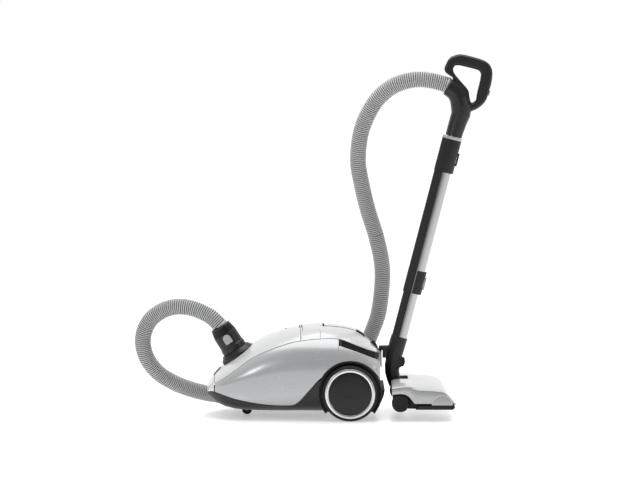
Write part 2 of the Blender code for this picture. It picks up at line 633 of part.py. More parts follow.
def rear_wheels():
    rod("wheel_axle", (0, 0, WHEEL_RADIUS), (0, 1, 0), AXLE_RADIUS, -WHEEL_OUT_Y + 0.010,
        WHEEL_OUT_Y - 0.010, "steel")
    flat = WHEEL_RADIUS / math.cos(math.pi / WHEEL_SIDES)  # the facets, not the corners, meet the floor
    inner = WHEEL_RADIUS - TYRE_THICKNESS
    back = WHEEL_OUT_Y - WHEEL_WIDTH
    for name, side in (("left", 1), ("right", -1)):
        frame = "wheel_axis_" + name
        joint_frame(frame, (0, side * (WHEEL_OUT_Y - WHEEL_WIDTH / 2), WHEEL_RADIUS))
        place = ((0, 0, WHEEL_RADIUS), (0, side, 0))
        turned("tyre_" + name, [
            (inner, back), (flat - 0.003, back), (flat, back + 0.003), (flat, WHEEL_OUT_Y - 0.004),
            (flat - 0.004, WHEEL_OUT_Y), (inner, WHEEL_OUT_Y),
        ], *place, "tyre_rubber", frame, sides=WHEEL_SIDES)
        turned("trim_ring_" + name, [
            (inner - FIT, WHEEL_OUT_Y - 0.003), (inner - FIT, WHEEL_OUT_Y + 0.001),
            (inner - TRIM_WIDTH, WHEEL_OUT_Y + 0.0015), (inner - TRIM_WIDTH, WHEEL_OUT_Y - 0.003),
        ], *place, "silver_trim", frame, sides=WHEEL_SIDES)
        face = WHEEL_OUT_Y - 0.003 - FIT
        hub = inner - TRIM_WIDTH - FIT
        turned("wheel_hub_" + name, [
            (AXLE_RADIUS + FIT, back), (inner - FIT, back), (inner - FIT, face), (hub, face),
            (hub, WHEEL_OUT_Y), (hub * 0.6, WHEEL_OUT_Y + 0.7 * HUB_DOME), (0, WHEEL_OUT_Y + HUB_DOME),
            (0, WHEEL_OUT_Y - 0.009), (AXLE_RADIUS + FIT, WHEEL_OUT_Y - 0.009),
        ], *place, "black_satin", frame, sides=WHEEL_SIDES)


def caster():
    joint_frame("caster_swivel", (CASTER_X, 0, CASTER_CUP_TOP))
    axle = Vector((CASTER_X + CASTER_TRAIL, 0, CASTER_RADIUS))
    joint_frame("caster_axle", axle, "caster_swivel")
    top = CASTER_CUP_TOP - PLAY
    obj = turned("caster_fork", [
        (0, top - 0.004), (0.020, top - 0.004), (0.020, top), (0.0045, top), (0.0040, CASTER_CUP_TOP + 0.008),
        (0, CASTER_CUP_TOP + 0.008),
    ], (CASTER_X, 0, 0), (0, 0, 1), "black_matte", "caster_swivel", sides=20)
    half = CASTER_WIDTH / 2 + PLAY
    arm = [(CASTER_X - 0.004, top - 0.002), (CASTER_X + 0.014, top - 0.002), (axle.x + 0.006, axle.z + 0.002),
           (axle.x + 0.003, axle.z - 0.005), (axle.x - 0.003, axle.z - 0.005),
           (axle.x - 0.006, axle.z + 0.002)]
    for name, side in (("left", 1), ("right", -1)):
        join(obj, slab("fork_arm_" + name, arm, *sorted((side * half, side * (half + 0.0025))), None))
    cut(obj, rod("fork_bore", axle, (0, 1, 0), 0.0023, -0.02, 0.02, None, sides=12))
    flat = CASTER_RADIUS / math.cos(math.pi / 20)
    wheel = turned("caster_wheel", [
        (0, -CASTER_WIDTH / 2), (flat - 0.0015, -CASTER_WIDTH / 2), (flat, -CASTER_WIDTH / 2 + 0.0015),
        (flat, CASTER_WIDTH / 2 - 0.0015), (flat - 0.0015, CASTER_WIDTH / 2), (0, CASTER_WIDTH / 2),
    ], axle, (0, 1, 0), "tyre_rubber", "caster_axle", sides=20)
    join(wheel, rod("caster_pin", axle, (0, 1, 0), 0.0020, -half - 0.003, half + 0.003, None, sides=12))


# ---------------------------------------------------------------- inside the body

def inset_outline(outline, by, top_by):
    """A quadrilateral outline drawn in by its walls: front-low, rear-low, rear-top, front-top."""
    (fx, lz), (rx, _), (_, rz), (_, fz) = outline
    return [(fx + by, lz + by), (rx - by, lz + by), (rx - by, rz + top_by), (fx + by, fz + top_by)]


def bag_compartment():
    tub = slab("bag_chamber", BAG_OUTLINE, -BAG_HALF, BAG_HALF, "black_matte")
    cut(tub, slab("bag_space", inset_outline(BAG_OUTLINE, 0.0025, 0.03), -BAG_HALF + 0.0025,
                  BAG_HALF - 0.0025, None),
        box("bag_outlet", (BAG_OUTLINE[1][0] - 0.01, -0.045, 0.075),
            (BAG_OUTLINE[1][0] + 0.01, 0.045, 0.130), None))
    bag = slab("dust_bag", inset_outline(BAG_OUTLINE, 0.006, -0.008), -BAG_HALF + 0.008,
               BAG_HALF - 0.008, "bag_paper")
    edge = bag.modifiers.new("soft_edges", "BEVEL")
    edge.width, edge.segments, edge.limit_method = 0.006, 2, "ANGLE"
    filter_x = BAG_OUTLINE[1][0] + FIT
    box("motor_filter", (filter_x, -0.050, 0.070), (filter_x + 0.006, 0.050, 0.135), "filter_fabric")


def fan_motor():
    """The housing lies along X and holds the stator; the rotor turns in both."""
    along = (1, 0, 0)
    joint_frame("rotor_axis", FAN_CENTRE)
    inner = FAN_RADIUS - 0.0025
    turned("motor_housing", [
        (0.018, -FAN_HALF), (FAN_RADIUS, -FAN_HALF), (FAN_RADIUS, FAN_HALF), (inner, FAN_HALF),
        (inner, -FAN_HALF + 0.0025), (0.018, -FAN_HALF + 0.0025),
    ], FAN_CENTRE, along, "black_matte", sides=20)
    bore = 0.0205
    stator_front, stator_rear = -0.022, 0.052
    turned("motor_stator", [
        (bore, stator_front), (inner - FIT, stator_front), (inner - FIT, stator_front + 0.004),
        (0.034, stator_front + 0.004), (0.034, stator_rear), (bore, stator_rear),
    ], FAN_CENTRE, along, "steel", sides=20)
    fan = inner - 0.004
    turned("motor_rotor", [
        (0, -0.052), (0.012, -0.052), (fan, -0.046), (fan, -0.034), (0.006, -0.034), (0.004, -0.030),
        (0.004, stator_front + 0.002), (bore - PLAY, stator_front + 0.002),
        (bore - PLAY, stator_rear - 0.008),
        (0.004, stator_rear - 0.008), (0.004, stator_rear + 0.006), (0, stator_rear + 0.006),
    ], FAN_CENTRE, along, "steel", "rotor_axis", sides=20)
    box("exhaust_filter", (0.0380, -0.060, 0.0790), (0.0600, 0.060, 0.1200), "filter_fabric")


def cord_reel():
    joint_frame("reel_axis", REEL_CENTRE)
    half = REEL_WIDTH / 2
    bore = 0.0070
    turned("cord_reel", [
        (bore, -half), (REEL_RADIUS, -half), (REEL_RADIUS, -half + 0.002), (0.020, -half + 0.002),
        (0.020, half - 0.002), (REEL_RADIUS, half - 0.002), (REEL_RADIUS, half), (bore, half),
    ], REEL_CENTRE, (0, 1, 0), "black_satin", "reel_axis", sides=20)
    plate = REEL_CENTRE.y - half - PLAY
    frame = box("reel_frame", (REEL_CENTRE.x - 0.012, plate - 0.002, 0.0300),
                (REEL_CENTRE.x + 0.012, plate, REEL_CENTRE.z + 0.012), "black_matte")
    join(frame, rod("reel_spindle", (REEL_CENTRE.x, plate - 0.001, REEL_CENTRE.z), (0, 1, 0),
                    bore - PLAY, 0, REEL_WIDTH + 0.004, None))


# ---------------------------------------------------------------- hose and cuff

def cuff():
    joint_frame("cuff_swivel", INLET_CENTRE, "lid_hinge")
    start = RING_HEIGHT + FIT
    bore = HOSE_RADIUS - 0.0020
    obj = turned("hose_cuff", [
        (bore, -RING_DEPTH + 0.002), (SPIGOT_RADIUS, -RING_DEPTH + 0.002), (SPIGOT_RADIUS, start),
        (CUFF_RADIUS, start), (CUFF_RADIUS, start + 0.012), (CUFF_RADIUS - 0.0015, start + 0.014),
        (CUFF_RADIUS - 0.0018, start + 0.045), (CUFF_TOP_RADIUS + 0.001, CUFF_END - 0.006),
        (CUFF_TOP_RADIUS, CUFF_END), (bore, CUFF_END),
    ], INLET_CENTRE, INLET_AXIS, "black_satin", "cuff_swivel", sides=24)
    low, high, half = start + 0.020, start + 0.043, 0.0095
    face = CUFF_RADIUS - 0.0010
    u, v, a = axes_of(INLET_AXIS)

    def arch(grow, y):
        foot = [(-half - grow, low - grow), (half + grow, low - grow)]
        bow = [((half + grow) * math.cos(t), high - half + (half + grow) * math.sin(t))
               for t in spaced(0, math.pi, 7)]
        return [INLET_CENTRE + u * p + a * q + Vector((0, y, 0)) for p, q in foot + bow]

    cut(obj, loft("cuff_button_pocket", [arch(PLAY, -0.05), arch(PLAY, -face + 0.0055)], None))
    joint_frame("cuff_button_slide", INLET_CENTRE + a * (low + high) / 2 + Vector((0, -face, 0)),
                "cuff_swivel")
    loft("cuff_button", [arch(0, -face - 0.0006), arch(0, -face + 0.0030)], "button_grey",
         "cuff_button_slide")


def hose():
    start = INLET_CENTRE + INLET_AXIS * CUFF_END
    end = handle_point(HOSE_JOINT) - HOSE_ENTRY * FIT
    rest = HOSE_RADIUS + 0.0005
    front = [start, Vector((-0.3380, 0.003, 0.2375)), (-0.3800, 0.009, 0.2550), (-0.4200, 0.017, 0.2575),
             (-0.4560, 0.027, 0.2450), (-0.4850, 0.038, 0.2190), (-0.5000, 0.050, 0.1780),
             (-0.4930, 0.063, 0.1320), (-0.4660, 0.078, 0.0920), (-0.4260, 0.094, 0.0640),
             (-0.3800, 0.114, 0.0440), (-0.3300, 0.138, 0.0300), (-0.2800, 0.158, 0.0220),
             (-0.2300, 0.170, rest), (-0.1800, 0.176, rest), FRONT_END]
    middle = [FRONT_END, (-0.0900, 0.178, 0.0215), (-0.0500, 0.178, 0.0310), (-0.0130, 0.177, 0.0560),
              (0.0160, 0.175, 0.0960), (0.0390, 0.172, 0.1400), (0.0580, 0.168, 0.1860),
              (0.0730, 0.162, 0.2330), (0.0812, 0.150, 0.3100), Vector((0.0780, 0.138, 0.3640)), MIDDLE_END]
    upper = [MIDDLE_END, Vector((0.0440, 0.108, 0.4890)), (0.0280, 0.090, 0.5570), (0.0205, 0.075, 0.6080),
             (0.0260, 0.056, 0.6700), (0.0420, 0.040, 0.7170), (0.0660, 0.027, 0.7570),
             (0.1000, 0.015, 0.7870), (0.1350, 0.007, 0.8010), (0.1650, 0.003, 0.8055),
             (0.1980, 0.001, 0.8020), end]
    along_floor = Vector((1, 0, 0))
    rising = (upper[1] - middle[-2]).normalized()
    for name, points, first, last in (
        ("hose_front", front, INLET_AXIS, along_floor), ("hose_middle", middle, along_floor, rising),
        ("hose_upper", upper, rising, HOSE_ENTRY),
    ):
        path = route(points, 0.030)
        path[0] = path[0] + first * FIT
        path[1:1] = [path[0] + first * 0.006]
        path[-1:-1] = [path[-1] - last * 0.006]
        tube(name, path, HOSE_RADIUS, "hose_grey")


# ---------------------------------------------------------------- wand

def wand_point(along, across=0.0, side=0.0):
    return WAND_FOOT + WAND_DIR * along + WAND_ACROSS * across + Vector((0, side, 0))


def wand_bar(name, section, low, high, mat, frame=None):
    """A bar along the wand with a section of (across, side) points."""
    return loft(name, [[wand_point(s, a, b) for a, b in section] for s in (low, high)], mat, frame)


def channel_back(grow, lip):
    """The outer outline of the cable channel's section, from one lip round its back to the other."""
    out, half = CHANNEL_OUT + grow, CHANNEL_HALF + grow
    return [(lip, -half), (-0.0108, -half), (-out, -half * 0.53), (-out, half * 0.53),
            (-0.0108, half), (lip, half)]


def lower_channel(grow):
    """Section of the lower cable channel, with a saddle that clears the upper tube."""
    saddle = UPPER_RADIUS + PLAY - grow
    half = CHANNEL_HALF + grow
    start = math.pi - math.asin(min(half / saddle, 0.999))
    arc = [(TUBE_ACROSS + saddle * math.cos(t), saddle * math.sin(t))
           for t in spaced(start, 2 * math.pi - start, 7)]
    return arc[1:-1] + channel_back(grow, arc[0][0])


def upper_channel():
    """Section of the upper cable channel: a cover that runs outside the lower one."""
    lip = -0.0020
    inner = channel_back(CHANNEL_GAP, lip)
    return channel_back(CHANNEL_GAP + CHANNEL_WALL, lip) + inner[::-1]


def neck():
    joint_frame("dock_slide", (DOCK_FRONT_X + 0.020, 0, DOCK_TOP))
    path = [wand_point(0), wand_point(-0.025, -0.0005), Vector((0.1055, 0, 0.1330)),
            Vector((0.1020, 0, 0.1100)), Vector((0.1060, 0, 0.0850)), Vector((0.1150, 0, 0.0600)),
            Vector((0.1185, 0, 0.0460))]
    radii = [0.0205, 0.0205, 0.0195, 0.0185, 0.0170, 0.0150, 0.0130]
    obj = sweep("neck_shell", route(path, 0.014), radii, "black_satin", "dock_slide", 16)
    hook = [(0.0702, DOCK_TOP + FIT), (0.1000, DOCK_TOP + FIT), (0.1000, 0.1665), (0.0702, 0.1655)]
    tongue = [(0.0702, 0.1480), (0.0728, 0.1480), (0.0728, 0.1600), (0.0702, 0.1600)]
    heel = [(0.0790, 0.1370), (0.1000, 0.1370), (0.1000, 0.1600), (0.0790, 0.1600)]
    join(obj,
         rod("neck_barrel", PIVOT, (0, 1, 0), BARREL_RADIUS, -BARREL_HALF, BARREL_HALF, None, sides=20),
         slab("hook_arm", hook, -0.0110, 0.0110, None), slab("hook_tongue", tongue, -0.0105, 0.0105, None),
         slab("hook_heel", heel, -0.0085, 0.0085, None))
    socket = LOWER_RADIUS + FIT
    tunnel = sweep("neck_airway", [wand_point(-LOWER_IN_NECK + 0.004, TUBE_ACROSS), *path[2:-1]],
                   [0.0120, 0.0120, 0.0115, 0.0110, 0.0090], None, None, 10)
    cut(obj,
        rod("neck_socket", wand_point(0, TUBE_ACROSS), WAND_DIR, socket, -LOWER_IN_NECK, 0.03, None,
            sides=20),
        wand_bar("neck_channel_slot", lower_channel(FIT), -LOWER_IN_NECK, 0.03, None),
        tunnel, rod("barrel_bore", PIVOT, (0, 1, 0), HEAD_AXLE + PLAY, -0.05, 0.05, None))


def lower_wand():
    tube = LOWER_RADIUS
    turned("lower_tube", [
        (tube - TUBE_WALL, -LOWER_IN_NECK + FIT), (tube, -LOWER_IN_NECK + FIT),
        (tube, LOWER_LENGTH), (tube - TUBE_WALL, LOWER_LENGTH),
    ], wand_point(0, TUBE_ACROSS), WAND_DIR, "chrome_tube", "dock_slide", sides=20)
    wand_bar("lower_channel", lower_channel(0), -LOWER_IN_NECK + FIT, LOWER_LENGTH, "black_satin",
             "dock_slide")


def neck_pedal():
    pivot = Vector((0.1240, 0, 0.1340))
    joint_frame("neck_pedal_pivot", pivot, "dock_slide")
    outline = [(0.1245, 0.1385), (0.1320, 0.1365), (0.1335, 0.1260), (0.1290, 0.1160), (0.1235, 0.1170),
               (0.1230, 0.1260)]
    slab("neck_pedal", outline, -0.0120, 0.0120, "black_matte", "neck_pedal_pivot")
    cheek = [(0.1120, 0.1120), (0.1235, 0.1150), (0.1270, 0.1260), (0.1270, 0.1390), (0.1180, 0.1440)]
    cut(bpy.data.objects["neck_shell"],
        slab("neck_pedal_space", [(0.1195, 0.1420), (0.1500, 0.1420), (0.1500, 0.1130), (0.1180, 0.1130)],
             -0.0130, 0.0130, None))
    for name, side in (("left", 1), ("right", -1)):
        join(bpy.data.objects["neck_shell"],
             slab("pedal_cheek_" + name, cheek, *sorted((side * 0.0128, side * 0.0168)), None))


def upper_wand():
    joint_frame("telescope_slide", wand_point(COLLAR_START, TUBE_ACROSS), "dock_slide")
    frame = "telescope_slide"
    inside = UPPER_RADIUS - TUBE_WALL
    base = wand_point(0, TUBE_ACROSS)
    turned("upper_tube", [
        (inside, COLLAR_START + 0.004), (UPPER_RADIUS, COLLAR_START + 0.004),
        (UPPER_RADIUS, WAND_TOP + 0.015),
        (inside, WAND_TOP + 0.015),
    ], base, WAND_DIR, "chrome_tube", frame, sides=20)
    channel_end = WAND_TOP - TOP_COLLAR_LENGTH - FIT
    wand_bar("upper_channel", upper_channel(), COLLAR_START, channel_end, "black_satin",
             frame)
    collar_out = UPPER_RADIUS + 0.0045
    half = math.radians(98)
    ring = [(TUBE_ACROSS + collar_out * math.cos(t), collar_out * math.sin(t))
            for t in spaced(-half, half, 13)]
    bore = [(TUBE_ACROSS + (UPPER_RADIUS + FIT) * math.cos(t), (UPPER_RADIUS + FIT) * math.sin(t))
            for t in spaced(half, -half, 13)]
    low = COLLAR_START
    collar = wand_bar("mid_collar", ring + bore, low, low + COLLAR_LENGTH, "black_matte", frame)
    button_low, button_high = low + 0.012, low + 0.044
    joint_frame("telescope_button_slide", wand_point((button_low + button_high) / 2, 0.026), frame)
    pocket = collar_out + TUBE_ACROSS - 0.0030
    cut(collar, oval("telescope_button_pocket", button_low, button_high, 0.0080, PLAY, pocket, 0.05, None))
    oval("telescope_button", button_low, button_high, 0.0080, 0, pocket + 0.0018, pocket + 0.0062,
         "button_grey", "telescope_button_slide")


def oval(name, low, high, half, grow, inner, outer, mat, frame=None):
    """A round-ended key on the wand's +X side, from inner to outer across the wand."""
    middle, straight = (low + high) / 2, (high - low) / 2 - half
    outline = []
    for centre, first in ((middle + straight, 0.0), (middle - straight, math.pi)):
        outline += [(centre + (half + grow) * math.sin(t), (half + grow) * math.cos(t))
                    for t in spaced(first, first + math.pi, 6)]
    return loft(name, [[wand_point(s, a, b) for s, b in outline] for a in (inner, outer)], mat, frame)


# ---------------------------------------------------------------- handle

def handle_point(place):
    """A point given in X and Z from the wand's head."""
    return WAND_HEAD + Vector((place[0], 0, place[1]))


def top_collar():
    frame = "telescope_slide"
    section = [(TUBE_ACROSS + 0.0215 * math.cos(t), 0.0200 * math.sin(t)) for t in spaced(-1.9, 1.9, 13)]
    back = CHANNEL_OUT + CHANNEL_GAP + CHANNEL_WALL + 0.001
    section += [(-0.0125, 0.0185), (-back, 0.0110), (-back, -0.0110), (-0.0125, -0.0185)]
    low, ring = WAND_TOP - TOP_COLLAR_LENGTH, WAND_TOP - 0.004
    bore = rod("collar_bore", wand_point(0, TUBE_ACROSS), WAND_DIR, UPPER_RADIUS + FIT, low - 0.01,
               WAND_TOP + 0.02, None, sides=20)
    collar = wand_bar("top_collar", section, low, ring - FIT, "black_satin", frame)
    pale = wand_bar("collar_ring", [(a * 1.03, b * 1.03) for a, b in section], ring, ring + 0.0065,
                    "light_grey_gloss", frame)
    cut(pale, bore)
    low_key, high_key = low + 0.020, low + 0.052
    pocket = TUBE_ACROSS + 0.0215 - 0.0024
    joint_frame("wand_button_slide", wand_point((low_key + high_key) / 2, pocket + 0.004), frame)
    cut(collar, bore, oval("wand_button_pocket", low_key, high_key, 0.0070, PLAY, pocket, 0.05, None))
    oval("wand_button", low_key, high_key, 0.0070, 0, pocket + 0.0015, pocket + 0.0055, "black_matte",
         "wand_button_slide")


def handle():
    """The elbow between the hose and the wand, and the closed grip loop on it."""
    frame = "telescope_slide"
    half, round_off = GRIP_THICKNESS / 2, 0.0050
    rims = [(-half, 1), (-half + round_off, 0), (half - round_off, 0), (half, 1)]
    loop = loft("handle_loop", [outline_ring(LOOP_OUTER, -round_off * k, y) for y, k in rims], None)
    opening = [outline_ring(LOOP_INNER, round_off * k, y * 1.02) for y, k in rims]
    cut(loop, loft("handle_opening", opening, None))
    elbow_line = [HOSE_JOINT, (0.0060, 0.0940), (0.0150, 0.0780), (0.0185, 0.0600), (0.0180, 0.0400),
                  (0.0105, 0.0200)]
    points = [handle_point(p) for p in elbow_line]
    points.insert(1, points[0] + HOSE_ENTRY * 0.006)
    points += [wand_point(WAND_TOP + 0.010, TUBE_ACROSS), wand_point(WAND_TOP + 0.0035, TUBE_ACROSS)]
    radii = [0.0225, 0.0230, 0.0240, 0.0245, 0.0250, 0.0235, 0.0215, 0.0205, 0.0205]
    obj = sweep("handle", points, radii, "black_satin", frame, 16)
    join(obj, loop)
    airway = sweep("handle_airway", [points[0] - HOSE_ENTRY * 0.01, *points[1:-1]], [0.0145] * 2,
                   None, None, 10)
    socket = rod("handle_socket", wand_point(0, TUBE_ACROSS), WAND_DIR, UPPER_RADIUS + FIT, WAND_TOP - 0.05,
                 WAND_TOP + 0.0155, None, sides=20)
    joint_frame("grip_switch_slide", handle_point((0.0835, 0.0850)), frame)
    back = Vector((0.0917 - 0.0820, 0.1190 - 0.0820)).normalized()  # along the grip's rear edge
    out = Vector((back.y, -back.x))
    centre = Vector((0.0845, 0.0905))

    def key(length, low, high):
        corners = [(-length, low), (length, low), (length, high), (-length, high)]
        return [tuple(WAND_HEAD.xz + centre + back * s + out * d) for s, d in corners]

    cut(obj, airway, socket,
        slab("switch_pocket", key(0.0105, -0.0035, 0.02), -0.0055, 0.0055, None))
    slab("grip_switch", key(0.0060, -0.0031, 0.0022), -0.0050, 0.0050, "button_grey", "grip_switch_slide")


def outline_ring(outline, grow, y):
    """A ring at y through the outline, each corner rounded by two points, grown from its middle."""
    middle = sum((Vector(p) for p in outline), Vector((0, 0))) / len(outline)
    ring = []
    for i, p in enumerate(outline):
        for other in (outline[i - 1], outline[(i + 1) % len(outline)]):
            corner = Vector(p).lerp(Vector(other), 0.22)
            corner += (corner - middle).normalized() * grow
            ring.append(handle_point(corner) + Vector((0, y, 0)))
    return ring


# ---------------------------------------------------------------- floor head

def head_cover():
    joint_frame("head_pivot", PIVOT, "dock_slide")

    def grid(inset):
        rows = []
        for x in spaced(0.0990, 0.2510, 14):
            half, crease = HEAD_HALF_WIDTH - inset, HEAD_CREASE(x) - inset / 2
            tall = max(HEAD_TOP(x) - inset - crease, 0.0004)
            side = [(half, HEAD_EDGE(x))]
            side += [(half * math.cos(t), crease + tall * math.sin(t) ** 0.9)
                     for t in spaced(0, math.pi / 2, 6)]
            rows.append([Vector((x, -y, z)) for y, z in side] + [Vector((x, y, z)) for y, z in side[-2::-1]])
        return rows
    obj = shell("head_cover", grid(0), grid(0.0025), "white_gloss", "head_pivot")
    slot = BARREL_HALF + 0.004
    cut(obj, box("cover_neck_slot", (0.05, -slot, 0.02), (0.1400, slot, 0.12), None))


def head_base():
    chamber = CHAMBER_RADIUS + CHAMBER_WALL
    arc = [(ROLL_CENTRE.x + chamber * math.cos(t), ROLL_CENTRE.z + chamber * math.sin(t))
           for t in spaced(0, math.radians(170), 7)]
    outline = [(0.1040, 0.0520), (0.1040, 0.0360), (0.1250, 0.0290), (0.1960, 0.0278), (0.2320, 0.0278)]
    outline += arc + [(0.1560, 0.0480), (0.1500, 0.0520)]
    half = ROLL_HALF + 0.008
    obj = slab("head_base", outline, -half, half, "black_matte", "head_pivot")
    sole = [(0.1560, 0.0278), (0.2440, 0.0278), (0.2490, 0.0330), (0.2480, 0.0370), (0.1650, 0.0370)]
    join(obj, slab("sole_plate", sole, -HEAD_HALF_WIDTH + 0.001, HEAD_HALF_WIDTH - 0.001, None))
    slot = BARREL_HALF + 0.004
    roll = ROLL_HALF + 0.002
    cut(obj,
        rod("brush_space", ROLL_CENTRE, (0, 1, 0), CHAMBER_RADIUS, -roll, roll, None, sides=20),
        box("brush_mouth", (ROLL_CENTRE.x - ROLL_RADIUS, -roll, 0.0),
            (ROLL_CENTRE.x + ROLL_RADIUS, roll, ROLL_CENTRE.z), None),
        box("base_neck_slot", (0.05, -slot, 0.0), (0.1400, slot, 0.12), None),
        rod("base_axle_bore", PIVOT, (0, 1, 0), HEAD_AXLE + FIT, -0.2, 0.2, None, sides=12))
    for name, side in (("left", 1), ("right", -1)):
        cut(obj, rod("head_wheel_space_" + name, PIVOT, (0, side, 0), HEAD_WHEEL_RADIUS + 0.0022,
                     WHEEL_INSIDE - PLAY, 0.3, None, sides=20))
    belt = belt_outline(0.0022)
    cut(obj, slab("belt_space", belt, BELT_Y - BELT_WIDTH / 2 - PLAY, BELT_Y + BELT_WIDTH / 2 + PLAY, None))


def belt_outline(grow, sides=9):
    """The outline round both pulleys: two arcs joined by their common tangents."""
    a, b = BRUSH_MOTOR.xz, ROLL_CENTRE.xz
    ra, rb = PULLEY_RADIUS + grow, ROLL_PULLEY_RADIUS + grow
    line = b - a
    heading = math.atan2(line.y, line.x)
    lean = math.acos((ra - rb) / line.length)
    far = [(b.x + rb * math.cos(t), b.y + rb * math.sin(t))
           for t in spaced(heading - lean, heading + lean, sides)]
    near = [(a.x + ra * math.cos(t), a.y + ra * math.sin(t))
            for t in spaced(heading + lean, heading + 2 * math.pi - lean, sides)]
    return far + near


def head_drive():
    """Brush motor, its pulley, the belt and the brush roll."""
    across = (0, 1, 0)
    joint_frame("motor_pulley_axis", BRUSH_MOTOR, "head_pivot")
    joint_frame("brush_axis", ROLL_CENTRE, "head_pivot")
    pulley_in = BELT_Y + BELT_WIDTH / 2 + 0.001
    turned("brush_motor", [
        (0.0030, pulley_in + 0.004), (BRUSH_MOTOR_RADIUS, pulley_in + 0.004), (BRUSH_MOTOR_RADIUS, -0.045),
        (0, -0.045), (0, -0.055), (0.0030, -0.055),
    ], BRUSH_MOTOR, across, "steel", "head_pivot", sides=20)
    turned("motor_pulley", [
        (0, BELT_Y - 0.0035), (PULLEY_RADIUS, BELT_Y - 0.0035), (PULLEY_RADIUS, pulley_in),
        (0.0024, pulley_in), (0.0024, -0.058), (0, -0.058),
    ], BRUSH_MOTOR, across, "steel", "motor_pulley_axis", sides=SMALL_ROUND)
    inner, outer = belt_outline(FIT), belt_outline(FIT + BELT_THICKNESS)
    low, high = BELT_Y - BELT_WIDTH / 2, BELT_Y + BELT_WIDTH / 2
    bm = bmesh.new()
    loops = [[bm.verts.new((x, y, z)) for x, z in line]
             for line, y in ((inner, low), (outer, low), (outer, high), (inner, high))]
    for k in range(4):
        faces_between(bm, loops[k], loops[(k + 1) % 4])
    finish("drive_belt", bm, "tyre_rubber", "head_pivot")
    groove = [(ROLL_PULLEY_RADIUS, BELT_Y - 0.0045), (ROLL_PULLEY_RADIUS, BELT_Y + 0.0045)]
    core = 0.0135
    obj = turned("brush_roll", [
        (0, -ROLL_HALF), (core, -ROLL_HALF), (core, groove[0][1]), groove[0], groove[1],
        (core, groove[1][1]), (core, ROLL_HALF), (0, ROLL_HALF),
    ], ROLL_CENTRE, across, "bristle_black", "brush_axis", sides=SMALL_ROUND)
    for k in range(2):
        rings = []
        for y in spaced(groove[1][1] + 0.002, ROLL_HALF - 0.002, 9):
            t = math.pi * k + 2.6 * (y / ROLL_HALF)
            out = Vector((math.cos(t), 0, math.sin(t)))
            wide = Vector((-math.sin(t), 0, math.cos(t))) * 0.0022
            middle = ROLL_CENTRE + Vector((0, y, 0))
            rings.append([middle + out * (core - 0.004) - wide, middle + out * ROLL_RADIUS - wide,
                          middle + out * ROLL_RADIUS + wide, middle + out * (core - 0.004) + wide])
        join(obj, loft(f"bristle_row_{k}", rings, None))


def head_wheels():
    joint_frame("head_wheel_axis", PIVOT, "head_pivot")
    out = HEAD_HALF_WIDTH - 0.003
    half = []
    for radius, y in ((HEAD_AXLE, WHEEL_INSIDE), (HEAD_WHEEL_RADIUS, WHEEL_INSIDE),
                      (HEAD_WHEEL_RADIUS, out - 0.002), (HEAD_WHEEL_RADIUS - 0.002, out), (0, out)):
        half.append((radius, y))
    turned("head_wheels", [(r, -y) for r, y in reversed(half)] + half, PIVOT, (0, 1, 0), "tyre_rubber",
           "head_wheel_axis", sides=20)


# ---------------------------------------------------------------- dock

def dock_bracket():
    low_front = 0.0610
    outline = [(low_front, DOCK_LOW), (TAIL_X + 0.0005, DOCK_LOW), (TAIL_X + 0.0005, DOCK_TOP),
               (0.0685, DOCK_TOP), (0.0680, 0.1620), (0.0600, 0.1775), (DOCK_FRONT_X, 0.1800),
               (DOCK_FRONT_X, 0.1700), (low_front, 0.1650)]
    obj = slab("dock_bracket", outline, -DOCK_HALF, DOCK_HALF, "black_matte")
    cut(obj, box("dock_pocket", (0.0690, -0.0120, 0.1465), (0.0742, 0.0120, 0.25), None))


def lid_hinge_pin():
    rod("lid_hinge_pin", (LID_REAR_X, 0, CROWN(LID_REAR_X) - 0.002), (0, 1, 0), PIN_RADIUS, -PIN_HALF,
        PIN_HALF, "steel", sides=12)


def main():
    clear()
    base_pan()
    side_panel("side_panel_left", 1)
    side_panel("side_panel_right", -1)
    vent_grille("vent_grille_left", 1)
    vent_grille("vent_grille_right", -1)
    lid()
    lid_fittings()
    lid_hinge_pin()
    rear_deck()
    pedals()
    carry_handle()
    nose()
    dock_bracket()
    rear_wheels()
    caster()
    bag_compartment()
    fan_motor()
    cord_reel()
    cuff()
    neck()
    lower_wand()
    neck_pedal()
    upper_wand()
    top_collar()
    handle()
    head_cover()
    head_base()
    head_drive()
    head_wheels()
    hose()


main()
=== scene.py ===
"""The parked canister vacuum cleaner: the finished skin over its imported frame."""

import json
import math

